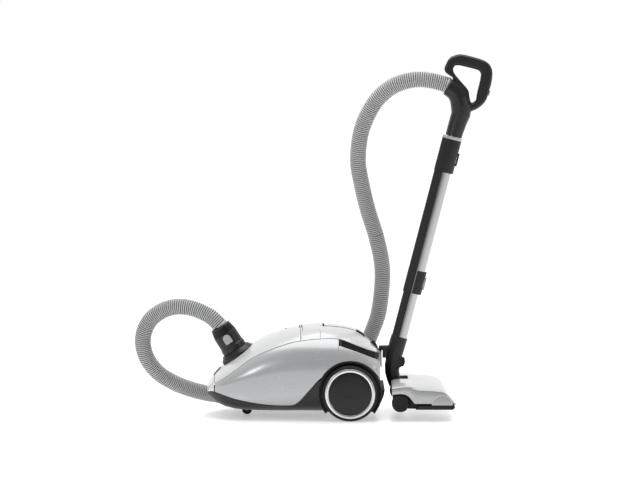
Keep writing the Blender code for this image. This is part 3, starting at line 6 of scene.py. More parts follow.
import bpy
from mathutils import Matrix, Vector
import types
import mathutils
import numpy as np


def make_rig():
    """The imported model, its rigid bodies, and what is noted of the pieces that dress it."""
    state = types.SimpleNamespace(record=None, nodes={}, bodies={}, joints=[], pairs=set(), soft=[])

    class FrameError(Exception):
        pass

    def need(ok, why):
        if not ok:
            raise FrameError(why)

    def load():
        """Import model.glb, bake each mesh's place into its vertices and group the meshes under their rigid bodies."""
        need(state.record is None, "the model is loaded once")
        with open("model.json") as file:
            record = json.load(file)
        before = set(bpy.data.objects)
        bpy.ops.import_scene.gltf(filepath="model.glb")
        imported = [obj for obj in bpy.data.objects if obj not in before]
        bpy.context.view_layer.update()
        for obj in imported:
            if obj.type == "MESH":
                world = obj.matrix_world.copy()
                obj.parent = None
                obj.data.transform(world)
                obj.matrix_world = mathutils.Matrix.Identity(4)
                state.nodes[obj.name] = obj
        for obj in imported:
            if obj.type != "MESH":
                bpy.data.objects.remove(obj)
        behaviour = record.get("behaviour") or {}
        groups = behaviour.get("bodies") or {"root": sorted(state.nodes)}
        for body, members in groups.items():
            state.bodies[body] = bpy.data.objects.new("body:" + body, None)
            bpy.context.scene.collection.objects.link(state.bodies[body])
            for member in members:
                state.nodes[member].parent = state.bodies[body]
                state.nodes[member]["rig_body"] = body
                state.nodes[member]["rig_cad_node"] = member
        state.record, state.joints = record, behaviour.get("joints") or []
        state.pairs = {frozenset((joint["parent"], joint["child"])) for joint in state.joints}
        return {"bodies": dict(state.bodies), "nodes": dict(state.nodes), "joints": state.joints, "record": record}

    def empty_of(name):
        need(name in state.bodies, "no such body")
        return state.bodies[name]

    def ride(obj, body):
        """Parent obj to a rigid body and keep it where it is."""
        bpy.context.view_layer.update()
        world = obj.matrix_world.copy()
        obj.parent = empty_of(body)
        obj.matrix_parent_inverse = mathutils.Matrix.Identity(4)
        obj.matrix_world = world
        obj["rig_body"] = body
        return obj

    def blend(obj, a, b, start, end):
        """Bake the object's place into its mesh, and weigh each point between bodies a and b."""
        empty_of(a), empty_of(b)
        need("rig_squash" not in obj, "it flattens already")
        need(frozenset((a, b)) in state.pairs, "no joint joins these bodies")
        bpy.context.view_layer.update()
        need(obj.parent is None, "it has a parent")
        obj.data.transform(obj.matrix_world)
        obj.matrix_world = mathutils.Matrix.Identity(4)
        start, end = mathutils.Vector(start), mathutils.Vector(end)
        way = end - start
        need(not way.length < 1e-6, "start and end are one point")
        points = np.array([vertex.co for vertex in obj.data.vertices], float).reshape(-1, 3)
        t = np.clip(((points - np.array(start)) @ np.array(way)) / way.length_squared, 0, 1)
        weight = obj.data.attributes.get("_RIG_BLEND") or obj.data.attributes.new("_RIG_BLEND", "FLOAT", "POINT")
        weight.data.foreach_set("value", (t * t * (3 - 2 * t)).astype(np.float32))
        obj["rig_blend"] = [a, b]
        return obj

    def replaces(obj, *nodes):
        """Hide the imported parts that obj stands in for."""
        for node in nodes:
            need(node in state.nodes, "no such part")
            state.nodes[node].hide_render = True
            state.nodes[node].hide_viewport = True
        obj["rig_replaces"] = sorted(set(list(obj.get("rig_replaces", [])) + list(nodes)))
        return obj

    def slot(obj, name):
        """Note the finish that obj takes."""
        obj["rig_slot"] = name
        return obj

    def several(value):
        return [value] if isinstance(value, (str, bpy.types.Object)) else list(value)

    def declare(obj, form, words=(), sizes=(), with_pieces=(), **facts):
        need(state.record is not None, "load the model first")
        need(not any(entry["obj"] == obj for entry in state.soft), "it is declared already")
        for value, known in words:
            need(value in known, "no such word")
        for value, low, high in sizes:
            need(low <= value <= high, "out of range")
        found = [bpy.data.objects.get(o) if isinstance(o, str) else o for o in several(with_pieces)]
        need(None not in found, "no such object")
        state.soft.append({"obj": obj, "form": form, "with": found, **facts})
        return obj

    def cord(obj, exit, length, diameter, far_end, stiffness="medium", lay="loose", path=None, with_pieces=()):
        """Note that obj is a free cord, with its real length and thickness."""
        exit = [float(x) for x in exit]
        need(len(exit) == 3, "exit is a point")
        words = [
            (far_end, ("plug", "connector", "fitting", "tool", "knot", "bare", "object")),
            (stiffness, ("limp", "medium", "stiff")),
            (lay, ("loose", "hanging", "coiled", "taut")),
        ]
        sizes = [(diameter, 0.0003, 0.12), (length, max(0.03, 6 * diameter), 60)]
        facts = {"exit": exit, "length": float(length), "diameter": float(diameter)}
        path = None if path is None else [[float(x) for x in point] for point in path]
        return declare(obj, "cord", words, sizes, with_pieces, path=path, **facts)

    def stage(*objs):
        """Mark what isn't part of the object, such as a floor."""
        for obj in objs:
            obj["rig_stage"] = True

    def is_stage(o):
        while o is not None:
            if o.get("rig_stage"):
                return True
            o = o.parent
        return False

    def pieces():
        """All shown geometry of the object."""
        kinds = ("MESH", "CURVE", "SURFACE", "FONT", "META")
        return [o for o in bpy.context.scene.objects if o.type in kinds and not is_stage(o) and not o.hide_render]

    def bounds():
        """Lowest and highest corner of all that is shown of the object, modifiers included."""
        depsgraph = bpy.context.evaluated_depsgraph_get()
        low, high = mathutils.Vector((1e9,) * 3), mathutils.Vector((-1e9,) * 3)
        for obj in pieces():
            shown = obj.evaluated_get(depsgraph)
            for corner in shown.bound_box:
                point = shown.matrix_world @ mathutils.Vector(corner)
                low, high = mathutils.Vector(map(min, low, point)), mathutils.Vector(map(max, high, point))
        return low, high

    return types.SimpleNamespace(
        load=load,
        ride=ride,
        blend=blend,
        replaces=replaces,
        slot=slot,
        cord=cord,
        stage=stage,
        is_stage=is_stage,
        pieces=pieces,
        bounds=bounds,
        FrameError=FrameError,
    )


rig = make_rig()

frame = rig.load()
cad_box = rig.bounds()

# ---------------------------------------------------------------- the body's lines, as in the CAD

NOSE_X, TAIL_X = -0.343, 0.0763
BODY_HALF_WIDTH = 0.135
SEAM = 0.0012
LID_FRONT_X, LID_REAR_X = -0.3229, -0.1178
DECK_FRONT_X = LID_REAR_X + SEAM
VENT_FRONT_X, VENT_REAR_X = -0.025, 0.067
PANEL_REAR_X = 0.0722
LATCH_HALF, LATCH_TOP_X, LATCH_FOOT_X, LATCH_SWING = 0.020, -0.3120, -0.3270, 0.0035
PEDAL_FRONT_X, PEDAL_REAR_X, PEDAL_INNER, PEDAL_OUTER = -0.1125, -0.0710, 0.0125, 0.0610
RECESS_FRONT_X, RECESS_REAR_X, RECESS_HALF = -0.0655, 0.0360, 0.036
HANDLE_FRONT_X, HANDLE_REAR_X, HANDLE_HALF = -0.0615, 0.0160, 0.027
DOCK_FRONT_X, DOCK_HALF, DOCK_LOW = 0.0530, 0.0165, 0.140
WHEEL_RADIUS, WHEEL_WIDTH, WHEEL_OUT_Y, TYRE_THICKNESS, TRIM_WIDTH = 0.066, 0.032, 0.142, 0.0065, 0.008
HOSE_RADIUS = 0.020
INLET_AXIS = Vector((-0.538, 0, 0.843)).normalized()
INLET_CENTRE = Vector((-0.2688, 0, 0.1452))
RING_RADIUS, RING_TOP_RADIUS, RING_HEIGHT = 0.043, 0.034, 0.014
CUFF_RADIUS, CUFF_TOP_RADIUS, CUFF_END, SPIGOT_RADIUS = 0.031, 0.0255, 0.0804, 0.0255
WAND_FOOT = Vector((0.1199, 0, 0.1877))
WAND_TILT = math.radians(14.5)
WAND_DIR = Vector((math.sin(WAND_TILT), 0, math.cos(WAND_TILT)))
WAND_ACROSS = Vector((math.cos(WAND_TILT), 0, -math.sin(WAND_TILT)))
TUBE_ACROSS, UPPER_RADIUS, LOWER_RADIUS, TUBE_WALL = 0.004, 0.016, 0.0141, 0.0012
LOWER_LENGTH, COLLAR_START, WAND_TOP = 0.385, 0.110, 0.495
WAND_HEAD = WAND_FOOT + WAND_DIR * (WAND_TOP + 0.016)
HOSE_JOINT, HOSE_ENTRY = (-0.0128, 0.1072), Vector((0.842, 0, -0.540)).normalized()
FRONT_END, MIDDLE_END = Vector((-0.1350, 0.178, 0.0205)), Vector((0.0640, 0.123, 0.4260))
PIVOT = Vector((0.1195, 0, 0.042))
HEAD_HALF_WIDTH, HEAD_WHEEL_RADIUS = 0.138, 0.0205


def smooth(points):
    """A smooth curve through points of equal length, as a function of their first value."""
    def slope(i, k):
        a, b = points[max(i - 1, 0)], points[min(i + 1, len(points) - 1)]
        return (b[k] - a[k]) / (b[0] - a[0])

    def at(x, k=1):
        i = 0
        while i < len(points) - 2 and x > points[i + 1][0]:
            i += 1
        a, b = points[i], points[i + 1]
        span = b[0] - a[0]
        t = min(max((x - a[0]) / span, 0), 1)
        return (a[k] * (1 + 2 * t) * (1 - t) ** 2 + b[k] * t * t * (3 - 2 * t)
                + span * (slope(i, k) * t * (1 - t) ** 2 + slope(i + 1, k) * t * t * (t - 1)))
    return at


def spaced(first, last, count):
    return [first + (last - first) * i / (count - 1) for i in range(count)]


CROWN = smooth([
    (-0.343, 0.0725), (-0.336, 0.0850), (-0.313, 0.1110), (-0.2695, 0.1450), (-0.234, 0.1705),
    (-0.198, 0.1920), (-0.138, 0.2110), (-0.071, 0.2190), (-0.003, 0.2124), (0.030, 0.1970),
    (0.055, 0.1720), (0.0763, 0.1510),
])
WIDEST = smooth([(-0.343, 0.0635), (-0.300, 0.0800), (-0.200, 0.1050), (-0.100, 0.1150), (0.0763, 0.1180)])
KEEL = smooth([
    (-0.343, 0.0516), (-0.320, 0.0340), (-0.283, 0.0210), (-0.240, 0.0165), (-0.100, 0.0160),
    (0.030, 0.0180), (0.054, 0.0300), (0.0763, 0.0480),
])
FULLNESS = smooth([
    (-0.343, 0.26), (-0.336, 0.46), (-0.3229, 0.61), (-0.300, 0.75), (-0.250, 0.88), (-0.200, 0.94),
    (-0.120, 0.985), (-0.030, 1.0), (0.030, 0.99), (0.055, 0.955), (0.068, 0.88), (0.0763, 0.76),
])
COVER_LINE = smooth([
    (-0.343, 0.0690), (-0.313, 0.0890), (-0.2726, 0.1176), (-0.239, 0.1430), (-0.205, 0.1600),
    (-0.172, 0.1733), (-0.138, 0.1834), (-0.104, 0.1890), (-0.0706, 0.1920), (-0.027, 0.1920),
    (0.020, 0.1760), (0.067, 0.1560), (0.0763, 0.1500),
])
VENT_LINE = smooth([(-0.027, 0.1785), (0.020, 0.1630), (0.067, 0.1440), (0.0763, 0.1400)])
BASE_LINE = smooth([
    (-0.343, 0.0600), (-0.325, 0.0640), (-0.273, 0.0500), (-0.205, 0.0377), (-0.150, 0.0350),
    (-0.1277, 0.0400), (-0.098, 0.0720), (-0.070, 0.1020), (-0.050, 0.1050), (0.040, 0.1050),
    (0.066, 0.0980), (0.0763, 0.0700),
])
HEAD_TOP = smooth([
    (0.0990, 0.0850), (0.1080, 0.0885), (0.1400, 0.0898), (0.1750, 0.0892), (0.2000, 0.0866),
    (0.2146, 0.0822), (0.2260, 0.0735), (0.2370, 0.0595), (0.2510, 0.0425),
])
HEAD_CREASE = smooth([
    (0.0990, 0.0780), (0.1434, 0.0815), (0.1541, 0.0745), (0.2181, 0.0690), (0.2341, 0.0590),
    (0.2510, 0.0400),
])
HEAD_EDGE = smooth([
    (0.0990, 0.0640), (0.1300, 0.0640), (0.1420, 0.0560), (0.1530, 0.0420), (0.1600, 0.0385),
    (0.2000, 0.0378), (0.2510, 0.0375),
])
UPPER_POWER, LOWER_POWER = 2.2, 4.0


def skin(x, angle, inset=0.0, side=1):
    half = BODY_HALF_WIDTH * FULLNESS(x) - inset
    power = UPPER_POWER if angle >= 0 else LOWER_POWER
    tall = CROWN(x) - WIDEST(x) - inset if angle >= 0 else WIDEST(x) - KEEL(x) - inset
    out = half * max(math.cos(angle), 0.0) ** (2 / power)
    up = tall * abs(math.sin(angle)) ** (2 / power)
    return Vector((x, side * out, WIDEST(x) + math.copysign(up, angle)))


def angle_at(x, z):
    above = z >= WIDEST(x)
    tall = CROWN(x) - WIDEST(x) if above else WIDEST(x) - KEEL(x)
    share = min(abs(z - WIDEST(x)) / tall, 1.0)
    return math.copysign(math.asin(share ** ((UPPER_POWER if above else LOWER_POWER) / 2)), z - WIDEST(x))


def surface(x, y):
    share = min(abs(y) / (BODY_HALF_WIDTH * FULLNESS(x)), 0.999)
    return WIDEST(x) + (CROWN(x) - WIDEST(x)) * (1 - share ** UPPER_POWER) ** (1 / UPPER_POWER)


def recess_floor(x):
    return 0.1795 - 0.21 * x


def wand_point(along, across=0.0, side=0.0):
    return WAND_FOOT + WAND_DIR * along + WAND_ACROSS * across + Vector((0, side, 0))


def handle_point(place):
    return WAND_HEAD + Vector((place[0], 0, place[1]))


# ---------------------------------------------------------------- materials

def new_group(name, inputs, outputs):
    group = bpy.data.node_groups.new(name, "ShaderNodeTree")
    for label, default in inputs:
        socket = group.interface.new_socket(label, in_out="INPUT", socket_type="NodeSocketFloat")
        socket.default_value = default
    for label, kind in outputs:
        group.interface.new_socket(label, in_out="OUTPUT", socket_type=kind)
    return group, group.nodes.new("NodeGroupInput"), group.nodes.new("NodeGroupOutput")


def wire(tree, *pairs):
    for source, target in pairs:
        tree.links.new(source, target)


def node(tree, kind, **values):
    made = tree.nodes.new(kind)
    for key, value in values.items():
        if key.startswith("in_"):
            made.inputs[key[3:].replace("_", " ")].default_value = value
        else:
            setattr(made, key, value)
    return made


def moulding_group():
    """Moulded plastic: a fine grain, slow waviness and faint hairline scratches."""
    group, given, out = new_group("moulded surface", [
        ("Grain size", 900.0), ("Grain depth", 0.4), ("Scratches", 0.3)],
        [("Height", "NodeSocketFloat"), ("Shade", "NodeSocketFloat"), ("Rough", "NodeSocketFloat")])
    place = node(group, "ShaderNodeTexCoord")
    grain = node(group, "ShaderNodeTexNoise", in_Detail=4.0, in_Roughness=0.6)
    wave = node(group, "ShaderNodeTexNoise", in_Scale=9.0, in_Detail=3.0)
    stretch = node(group, "ShaderNodeMapping")
    stretch.inputs["Scale"].default_value = (30.0, 420.0, 260.0)
    stretch.inputs["Rotation"].default_value = (0.3, 0.5, 0.7)
    hair = node(group, "ShaderNodeTexNoise", in_Scale=1.0, in_Detail=2.0, in_Distortion=0.6)
    line = node(group, "ShaderNodeMapRange", in_From_Min=0.66, in_From_Max=0.72)
    depth = node(group, "ShaderNodeMath", operation="MULTIPLY")
    marks = node(group, "ShaderNodeMath", operation="MULTIPLY")
    height = node(group, "ShaderNodeMath", operation="SUBTRACT")
    rough = node(group, "ShaderNodeMath", operation="MULTIPLY_ADD")
    rough.inputs[1].default_value = 0.5
    wire(group,
         (place.outputs["Object"], grain.inputs["Vector"]),
         (given.outputs["Grain size"], grain.inputs["Scale"]),
         (place.outputs["Object"], wave.inputs["Vector"]),
         (place.outputs["Object"], stretch.inputs["Vector"]),
         (stretch.outputs["Vector"], hair.inputs["Vector"]), (hair.outputs["Fac"], line.inputs["Value"]),
         (grain.outputs["Fac"], depth.inputs[0]), (given.outputs["Grain depth"], depth.inputs[1]),
         (line.outputs["Result"], marks.inputs[0]), (given.outputs["Scratches"], marks.inputs[1]),
         (depth.outputs[0], height.inputs[0]), (marks.outputs[0], height.inputs[1]),
         (height.outputs[0], out.inputs["Height"]), (wave.outputs["Fac"], out.inputs["Shade"]),
         (wave.outputs["Fac"], rough.inputs[0]), (marks.outputs[0], rough.inputs[2]),
         (rough.outputs[0], out.inputs["Rough"]))
    return group


def dust_group():
    """A little dust that settles on what faces up, in scattered patches."""
    group, given, out = new_group("settled dust", [("Amount", 0.15)], [("Mask", "NodeSocketFloat")])
    facing = node(group, "ShaderNodeNewGeometry")
    split = node(group, "ShaderNodeSeparateXYZ")
    up = node(group, "ShaderNodeMapRange", in_From_Min=0.2, in_From_Max=1.0)
    place = node(group, "ShaderNodeTexCoord")
    patch = node(group, "ShaderNodeTexNoise", in_Scale=38.0, in_Detail=6.0, in_Roughness=0.7)
    speck = node(group, "ShaderNodeMapRange", in_From_Min=0.45, in_From_Max=0.75)
    both = node(group, "ShaderNodeMath", operation="MULTIPLY")
    scaled = node(group, "ShaderNodeMath", operation="MULTIPLY")
    wire(group,
         (facing.outputs["Normal"], split.inputs["Vector"]), (split.outputs["Z"], up.inputs["Value"]),
         (place.outputs["Object"], patch.inputs["Vector"]), (patch.outputs["Fac"], speck.inputs["Value"]),
         (up.outputs["Result"], both.inputs[0]), (speck.outputs["Result"], both.inputs[1]),
         (both.outputs[0], scaled.inputs[0]), (given.outputs["Amount"], scaled.inputs[1]),
         (scaled.outputs[0], out.inputs["Mask"]))
    return group


MOULDING, DUST = moulding_group(), dust_group()
finishes = {}


def finish_of(name, dark, light, rough, grain=900.0, depth=0.3, scratches=0.2, dust=0.05, bump=0.05,
              metal=0.0, coat=0.0, coat_rough=0.1, spec=0.5, dust_colour=(0.55, 0.54, 0.52)):
    """A material: two close colours that drift into each other, grain, hairlines and a trace of dust."""
    made = bpy.data.materials.new(name)
    made.use_nodes = True
    tree = made.node_tree
    shader = tree.nodes["Principled BSDF"]
    shader.inputs["Metallic"].default_value = metal
    shader.inputs["Coat Weight"].default_value = coat
    shader.inputs["Coat Roughness"].default_value = coat_rough
    shader.inputs["Specular IOR Level"].default_value = spec
    mould = tree.nodes.new("ShaderNodeGroup")
    mould.node_tree = MOULDING
    mould.inputs["Grain size"].default_value = grain
    mould.inputs["Grain depth"].default_value = depth
    mould.inputs["Scratches"].default_value = scratches
    dusty = tree.nodes.new("ShaderNodeGroup")
    dusty.node_tree = DUST
    dusty.inputs["Amount"].default_value = dust
    drift = node(tree, "ShaderNodeMix", data_type="RGBA")
    drift.inputs[6].default_value, drift.inputs[7].default_value = (*dark, 1), (*light, 1)
    settle = node(tree, "ShaderNodeMix", data_type="RGBA")
    settle.inputs[7].default_value = (*dust_colour, 1)
    range_ = node(tree, "ShaderNodeMapRange", in_From_Min=0.2, in_From_Max=0.9,
                  in_To_Min=max(rough - 0.05, 0.02), in_To_Max=min(rough + 0.10, 1.0))
    bumped = node(tree, "ShaderNodeBump", in_Strength=bump, in_Distance=0.0004)
    wire(tree,
         (mould.outputs["Shade"], drift.inputs[0]), (drift.outputs[2], settle.inputs[6]),
         (dusty.outputs["Mask"], settle.inputs[0]), (settle.outputs[2], shader.inputs["Base Color"]),
         (mould.outputs["Rough"], range_.inputs["Value"]),
         (range_.outputs["Result"], shader.inputs["Roughness"]),
         (mould.outputs["Height"], bumped.inputs["Height"]),
         (bumped.outputs["Normal"], shader.inputs["Normal"]))
    finishes[name] = made
    return made


def weave_finish():
    """Filter fleece: crossed fine fibres."""
    made = finish_of("filter_fleece", (0.72, 0.74, 0.76), (0.86, 0.88, 0.90), 0.9, 300, 0.8, 0.0, 0.2, 0.3)
    tree = made.node_tree
    place = node(tree, "ShaderNodeTexCoord")
    warp = node(tree, "ShaderNodeTexWave", in_Scale=260.0, in_Distortion=3.0, in_Detail=2.0)
    bumped = node(tree, "ShaderNodeBump", in_Strength=0.4, in_Distance=0.0006)
    wire(tree, (place.outputs["Object"], warp.inputs["Vector"]),
         (warp.outputs["Fac"], bumped.inputs["Height"]),
         (bumped.outputs["Normal"], tree.nodes["Principled BSDF"].inputs["Normal"]))
    return made


def brushed_tube():
    """Chromed tube: bright, with the faint lengthwise lines that drawing leaves."""
    made = finish_of("chromed_tube", (0.38, 0.383, 0.388), (0.46, 0.46, 0.467), 0.22, 500, 0.1, 0.15,
                     0.02, 0.02,
                     metal=1.0)
    tree = made.node_tree
    place = node(tree, "ShaderNodeTexCoord")
    along = node(tree, "ShaderNodeMapping")
    along.inputs["Rotation"].default_value = (0.0, -WAND_TILT, 0.0)
    along.inputs["Scale"].default_value = (900.0, 900.0, 6.0)
    lines = node(tree, "ShaderNodeTexNoise", in_Scale=1.0, in_Detail=3.0)
    bumped = node(tree, "ShaderNodeBump", in_Strength=0.05, in_Distance=0.0002)
    wire(tree, (place.outputs["Object"], along.inputs["Vector"]),
         (along.outputs["Vector"], lines.inputs["Vector"]),
         (lines.outputs["Fac"], bumped.inputs["Height"]),
         (bumped.outputs["Normal"], tree.nodes["Principled BSDF"].inputs["Normal"]))
    return made


def hose_finish():
    """Hose plastic: paler on the ribs, with painted shade darkening the grooves between them."""
    made = finish_of("hose_grey", (0.46, 0.463, 0.467), (0.54, 0.543, 0.547), 0.42, 700, 0.6, 0.05, 0.04,
                     0.08)
    tree = made.node_tree
    shader = tree.nodes["Principled BSDF"]
    rib = node(tree, "ShaderNodeAttribute", attribute_name="rib_height")
    ramp = node(tree, "ShaderNodeMapRange", in_From_Min=0.05, in_From_Max=0.75)
    # Painted shade: the rib height mixes the grooves towards a dark grey, so they read as shaded between the ribs.
    painted_groove_shade = node(tree, "ShaderNodeMix", data_type="RGBA")
    painted_groove_shade.inputs[6].default_value = (0.13, 0.131, 0.134, 1)
    wire(tree, (rib.outputs["Fac"], ramp.inputs["Value"]), (ramp.outputs["Result"], painted_groove_shade.inputs[0]),
         (shader.inputs["Base Color"].links[0].from_socket, painted_groove_shade.inputs[7]),
         (painted_groove_shade.outputs[2], shader.inputs["Base Color"]))
    return made


finish_of("lid_white", (0.60, 0.605, 0.61), (0.66, 0.665, 0.67), 0.22, 700, 0.15, 0.12, 0.04, 0.02, coat=0.35,
          coat_rough=0.06)
finish_of("panel_silver", (0.40, 0.404, 0.411), (0.46, 0.464, 0.471), 0.30, 1400, 0.35, 0.12, 0.05, 0.04,
          metal=0.25, coat=0.5, coat_rough=0.10)
finish_of("satin_black", (0.009, 0.0092, 0.010), (0.016, 0.0163, 0.0175), 0.36, 1100, 0.5, 0.25, 0.03,
          0.08, spec=0.32)
finish_of("matte_black", (0.011, 0.011, 0.012), (0.020, 0.020, 0.0215), 0.60, 800, 0.9, 0.15, 0.05, 0.16,
          spec=0.28)
finish_of("button_grey", (0.36, 0.365, 0.375), (0.44, 0.445, 0.455), 0.40, 1000, 0.4, 0.2, 0.05, 0.06)
finish_of("trim_silver", (0.62, 0.62, 0.63), (0.72, 0.72, 0.73), 0.28, 1600, 0.2, 0.15, 0.02, 0.03, metal=0.9,
          coat=0.2)
finish_of("turned_steel", (0.46, 0.46, 0.48), (0.60, 0.60, 0.62), 0.34, 600, 0.3, 0.4, 0.05, 0.06, metal=1.0)
finish_of("tyre_rubber", (0.008, 0.008, 0.009), (0.016, 0.016, 0.017), 0.66, 650, 1.0, 0.1, 0.10, 0.25,
          spec=0.25)
hose_finish()
finish_of("bag_paper", (0.62, 0.52, 0.38), (0.74, 0.66, 0.52), 0.85, 250, 1.0, 0.3, 0.2, 0.4)
finish_of("lens_green", (0.05, 0.22, 0.11), (0.08, 0.32, 0.17), 0.12, 400, 0.1, 0.1, 0.02, 0.02, coat=0.6)
brushed_tube()
weave_finish()
finish_of("brush_hair", (0.03, 0.03, 0.032), (0.10, 0.10, 0.11), 0.8, 500, 1.0, 0.0, 0.3, 0.6)
SLOT_FINISH = {
    "white_gloss": "lid_white", "light_grey_gloss": "panel_silver", "black_satin": "satin_black",
    "black_matte": "matte_black", "button_grey": "button_grey", "silver_trim": "trim_silver",
    "chrome_tube": "chromed_tube", "steel": "turned_steel", "tyre_rubber": "tyre_rubber",
    "hose_grey": "hose_grey", "bag_paper": "bag_paper", "filter_fabric": "filter_fleece",
    "lens_green": "lens_green", "bristle_black": "brush_hair",
}
SLOT_OF = {v: k for k, v in SLOT_FINISH.items()}


# ---------------------------------------------------------------- how pieces are made

def deselect():
    if bpy.context.object and bpy.context.object.mode != "OBJECT":
        bpy.ops.object.mode_set(mode="OBJECT")
    bpy.ops.object.select_all(action="DESELECT")


def only(piece):
    deselect()
    piece.select_set(True)
    bpy.context.view_layer.objects.active = piece


def apply_all(piece):
    only(piece)
    for modifier in list(piece.modifiers):
        bpy.ops.object.modifier_apply(modifier=modifier.name)


def done(piece, name, finish, body, stands_for=(), angle=32):
    """Ends a piece: place into the mesh, shading, material, its body, the CAD nodes it stands for."""
    only(piece)
    piece.name = piece.data.name = name
    bpy.ops.object.transform_apply(location=True, rotation=True, scale=True)
    bpy.ops.object.shade_smooth_by_angle(angle=math.radians(angle))
    piece.data.materials.clear()
    piece.data.materials.append(finishes[finish])
    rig.slot(piece, SLOT_OF[finish])
    if body:
        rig.ride(piece, body)
    if stands_for:
        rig.replaces(piece, *stands_for)
    return piece


def outward(piece):
    """Merges doubles and turns every face outwards."""
    only(piece)
    bpy.ops.object.mode_set(mode="EDIT")
    bpy.ops.mesh.select_all(action="SELECT")
    bpy.ops.mesh.remove_doubles(threshold=0.000005)
    bpy.ops.mesh.normals_make_consistent(inside=False)
    bpy.ops.object.mode_set(mode="OBJECT")


def sheet_piece(columns, rows, place):
    """A grid primitive whose points are pulled onto a surface: place(u, v) with u, v from 0 to 1."""
    deselect()
    bpy.ops.mesh.primitive_grid_add(x_subdivisions=columns, y_subdivisions=rows, size=1)
    piece = bpy.context.object
    for point in piece.data.vertices:
        point.co = place(point.co.x + 0.5, point.co.y + 0.5)
    return piece


def thicken(piece, wall, towards):
    """Gives a sheet its wall, on the side that towards(centre) points away from."""
    only(piece)
    middle = piece.data.polygons[len(piece.data.polygons) // 2]
    if middle.normal.dot(towards) < 0:
        bpy.ops.object.mode_set(mode="EDIT")
        bpy.ops.mesh.select_all(action="SELECT")
        bpy.ops.mesh.flip_normals()
        bpy.ops.object.mode_set(mode="OBJECT")
    solid = piece.modifiers.new("wall", "SOLIDIFY")
    solid.thickness, solid.offset, solid.use_even_offset = wall, -1, False
    return piece


def round_edges(piece, width, segments=2, angle=40):
    edge = piece.modifiers.new("edges", "BEVEL")
    edge.width, edge.segments, edge.limit_method = width, segments, "ANGLE"
    edge.angle_limit, edge.use_clamp_overlap = math.radians(angle), True
    return piece


def block(low, high):
    """A cube primitive between two corners."""
    deselect()
    bpy.ops.mesh.primitive_cube_add(size=1, location=[(a + b) / 2 for a, b in zip(low, high)])
    piece = bpy.context.object
    piece.scale = [b - a for a, b in zip(low, high)]
    bpy.ops.object.transform_apply(location=True, rotation=True, scale=True)
    return piece


def drum(centre, axis, radius, depth, sides=96):
    """A cylinder primitive round an axis."""
    deselect()
    bpy.ops.mesh.primitive_cylinder_add(vertices=sides, radius=radius, depth=depth)
    piece = bpy.context.object
    turn = Vector(axis).normalized().to_track_quat("Z", "Y").to_matrix().to_4x4()
    piece.data.transform(Matrix.Translation(centre) @ turn)
    return piece


def trim(piece, *tools, how="DIFFERENCE"):
    """Cuts tools out of a piece, or adds them, and removes the tools."""
    for tool in tools:
        only(piece)
        carve = piece.modifiers.new("trim", "BOOLEAN")
        carve.operation, carve.object, carve.solver = how, tool, "EXACT"
        bpy.ops.object.modifier_apply(modifier=carve.name)
        bpy.data.objects.remove(tool)
    return piece


def turned(profile, centre, axis, steps=96, closed=True):
    """A profile of (radius, height) drawn as a line and spun round the axis."""
    count = len(profile)
    edges = [(i, i + 1) for i in range(count - 1)] + ([(count - 1, 0)] if closed else [])
    mesh = bpy.data.meshes.new("profile")
    mesh.from_pydata([(r, 0, h) for r, h in profile], edges, [])
    piece = bpy.data.objects.new("profile", mesh)
    bpy.context.collection.objects.link(piece)
    only(piece)
    bpy.ops.object.mode_set(mode="EDIT")
    bpy.ops.mesh.select_all(action="SELECT")
    bpy.ops.mesh.spin(steps=steps, angle=2 * math.pi, center=(0, 0, 0), axis=(0, 0, 1))
    bpy.ops.object.mode_set(mode="OBJECT")
    turn = Vector(axis).normalized().to_track_quat("Z", "Y").to_matrix().to_4x4()
    piece.data.transform(Matrix.Translation(centre) @ turn)
    outward(piece)
    return piece


def rounded(profile, by, steps=4):
    """A closed profile with each corner rounded by a short arc."""
    out = []
    count = len(profile)
    for i in range(count):
        here = Vector(profile[i])
        before, after = Vector(profile[i - 1]) - here, Vector(profile[(i + 1) % count]) - here
        if here.x == 0:
            out.append(tuple(here))
            continue
        a = here + before.normalized() * min(by, before.length * 0.45)
        b = here + after.normalized() * min(by, after.length * 0.45)
        for k in range(steps + 1):
            t = k / steps
            out.append(tuple(a * (1 - t) ** 2 + here * 2 * t * (1 - t) + b * t * t))
    return out


def copy_of(*names):
    """One merged copy of some CAD nodes, for work by hand."""
    parts = []
    for name in names:
        source = frame["nodes"][name]
        piece = bpy.data.objects.new(name + "_copy", source.data.copy())
        bpy.context.collection.objects.link(piece)
        parts.append(piece)
    deselect()
    for piece in parts:
        piece.select_set(True)
    bpy.context.view_layer.objects.active = parts[0]
    if len(parts) > 1:
        bpy.ops.object.join()
    outward(parts[0])
    return parts[0]


def softened(piece, voxel, passes, factor=0.5):
    """Remeshes a piece finely and eases its corners, as a moulded part's are."""
    skin_ = piece.modifiers.new("even", "REMESH")
    skin_.mode, skin_.voxel_size, skin_.use_smooth_shade = "VOXEL", voxel, True
    ease = piece.modifiers.new("ease", "SMOOTH")
    ease.factor, ease.iterations = factor, passes
    apply_all(piece)
    return piece


def dress(name, finish, bevel=0.0005):
    """A CAD node that keeps its shape: crisp small edge radii and its finish."""
    piece = frame["nodes"][name]
    piece.data.materials.clear()
    piece.data.materials.append(finishes[finish])
    weld = piece.modifiers.new("weld", "WELD")
    weld.merge_threshold = 0.000005
    if bevel:
        round_edges(piece, bevel, 2, 35)
    level = piece.modifiers.new("level", "WEIGHTED_NORMAL")
    level.keep_sharp = False
    piece.data.polygons.foreach_set("use_smooth", [True] * len(piece.data.polygons))


# ---------------------------------------------------------------- camera and light, set first

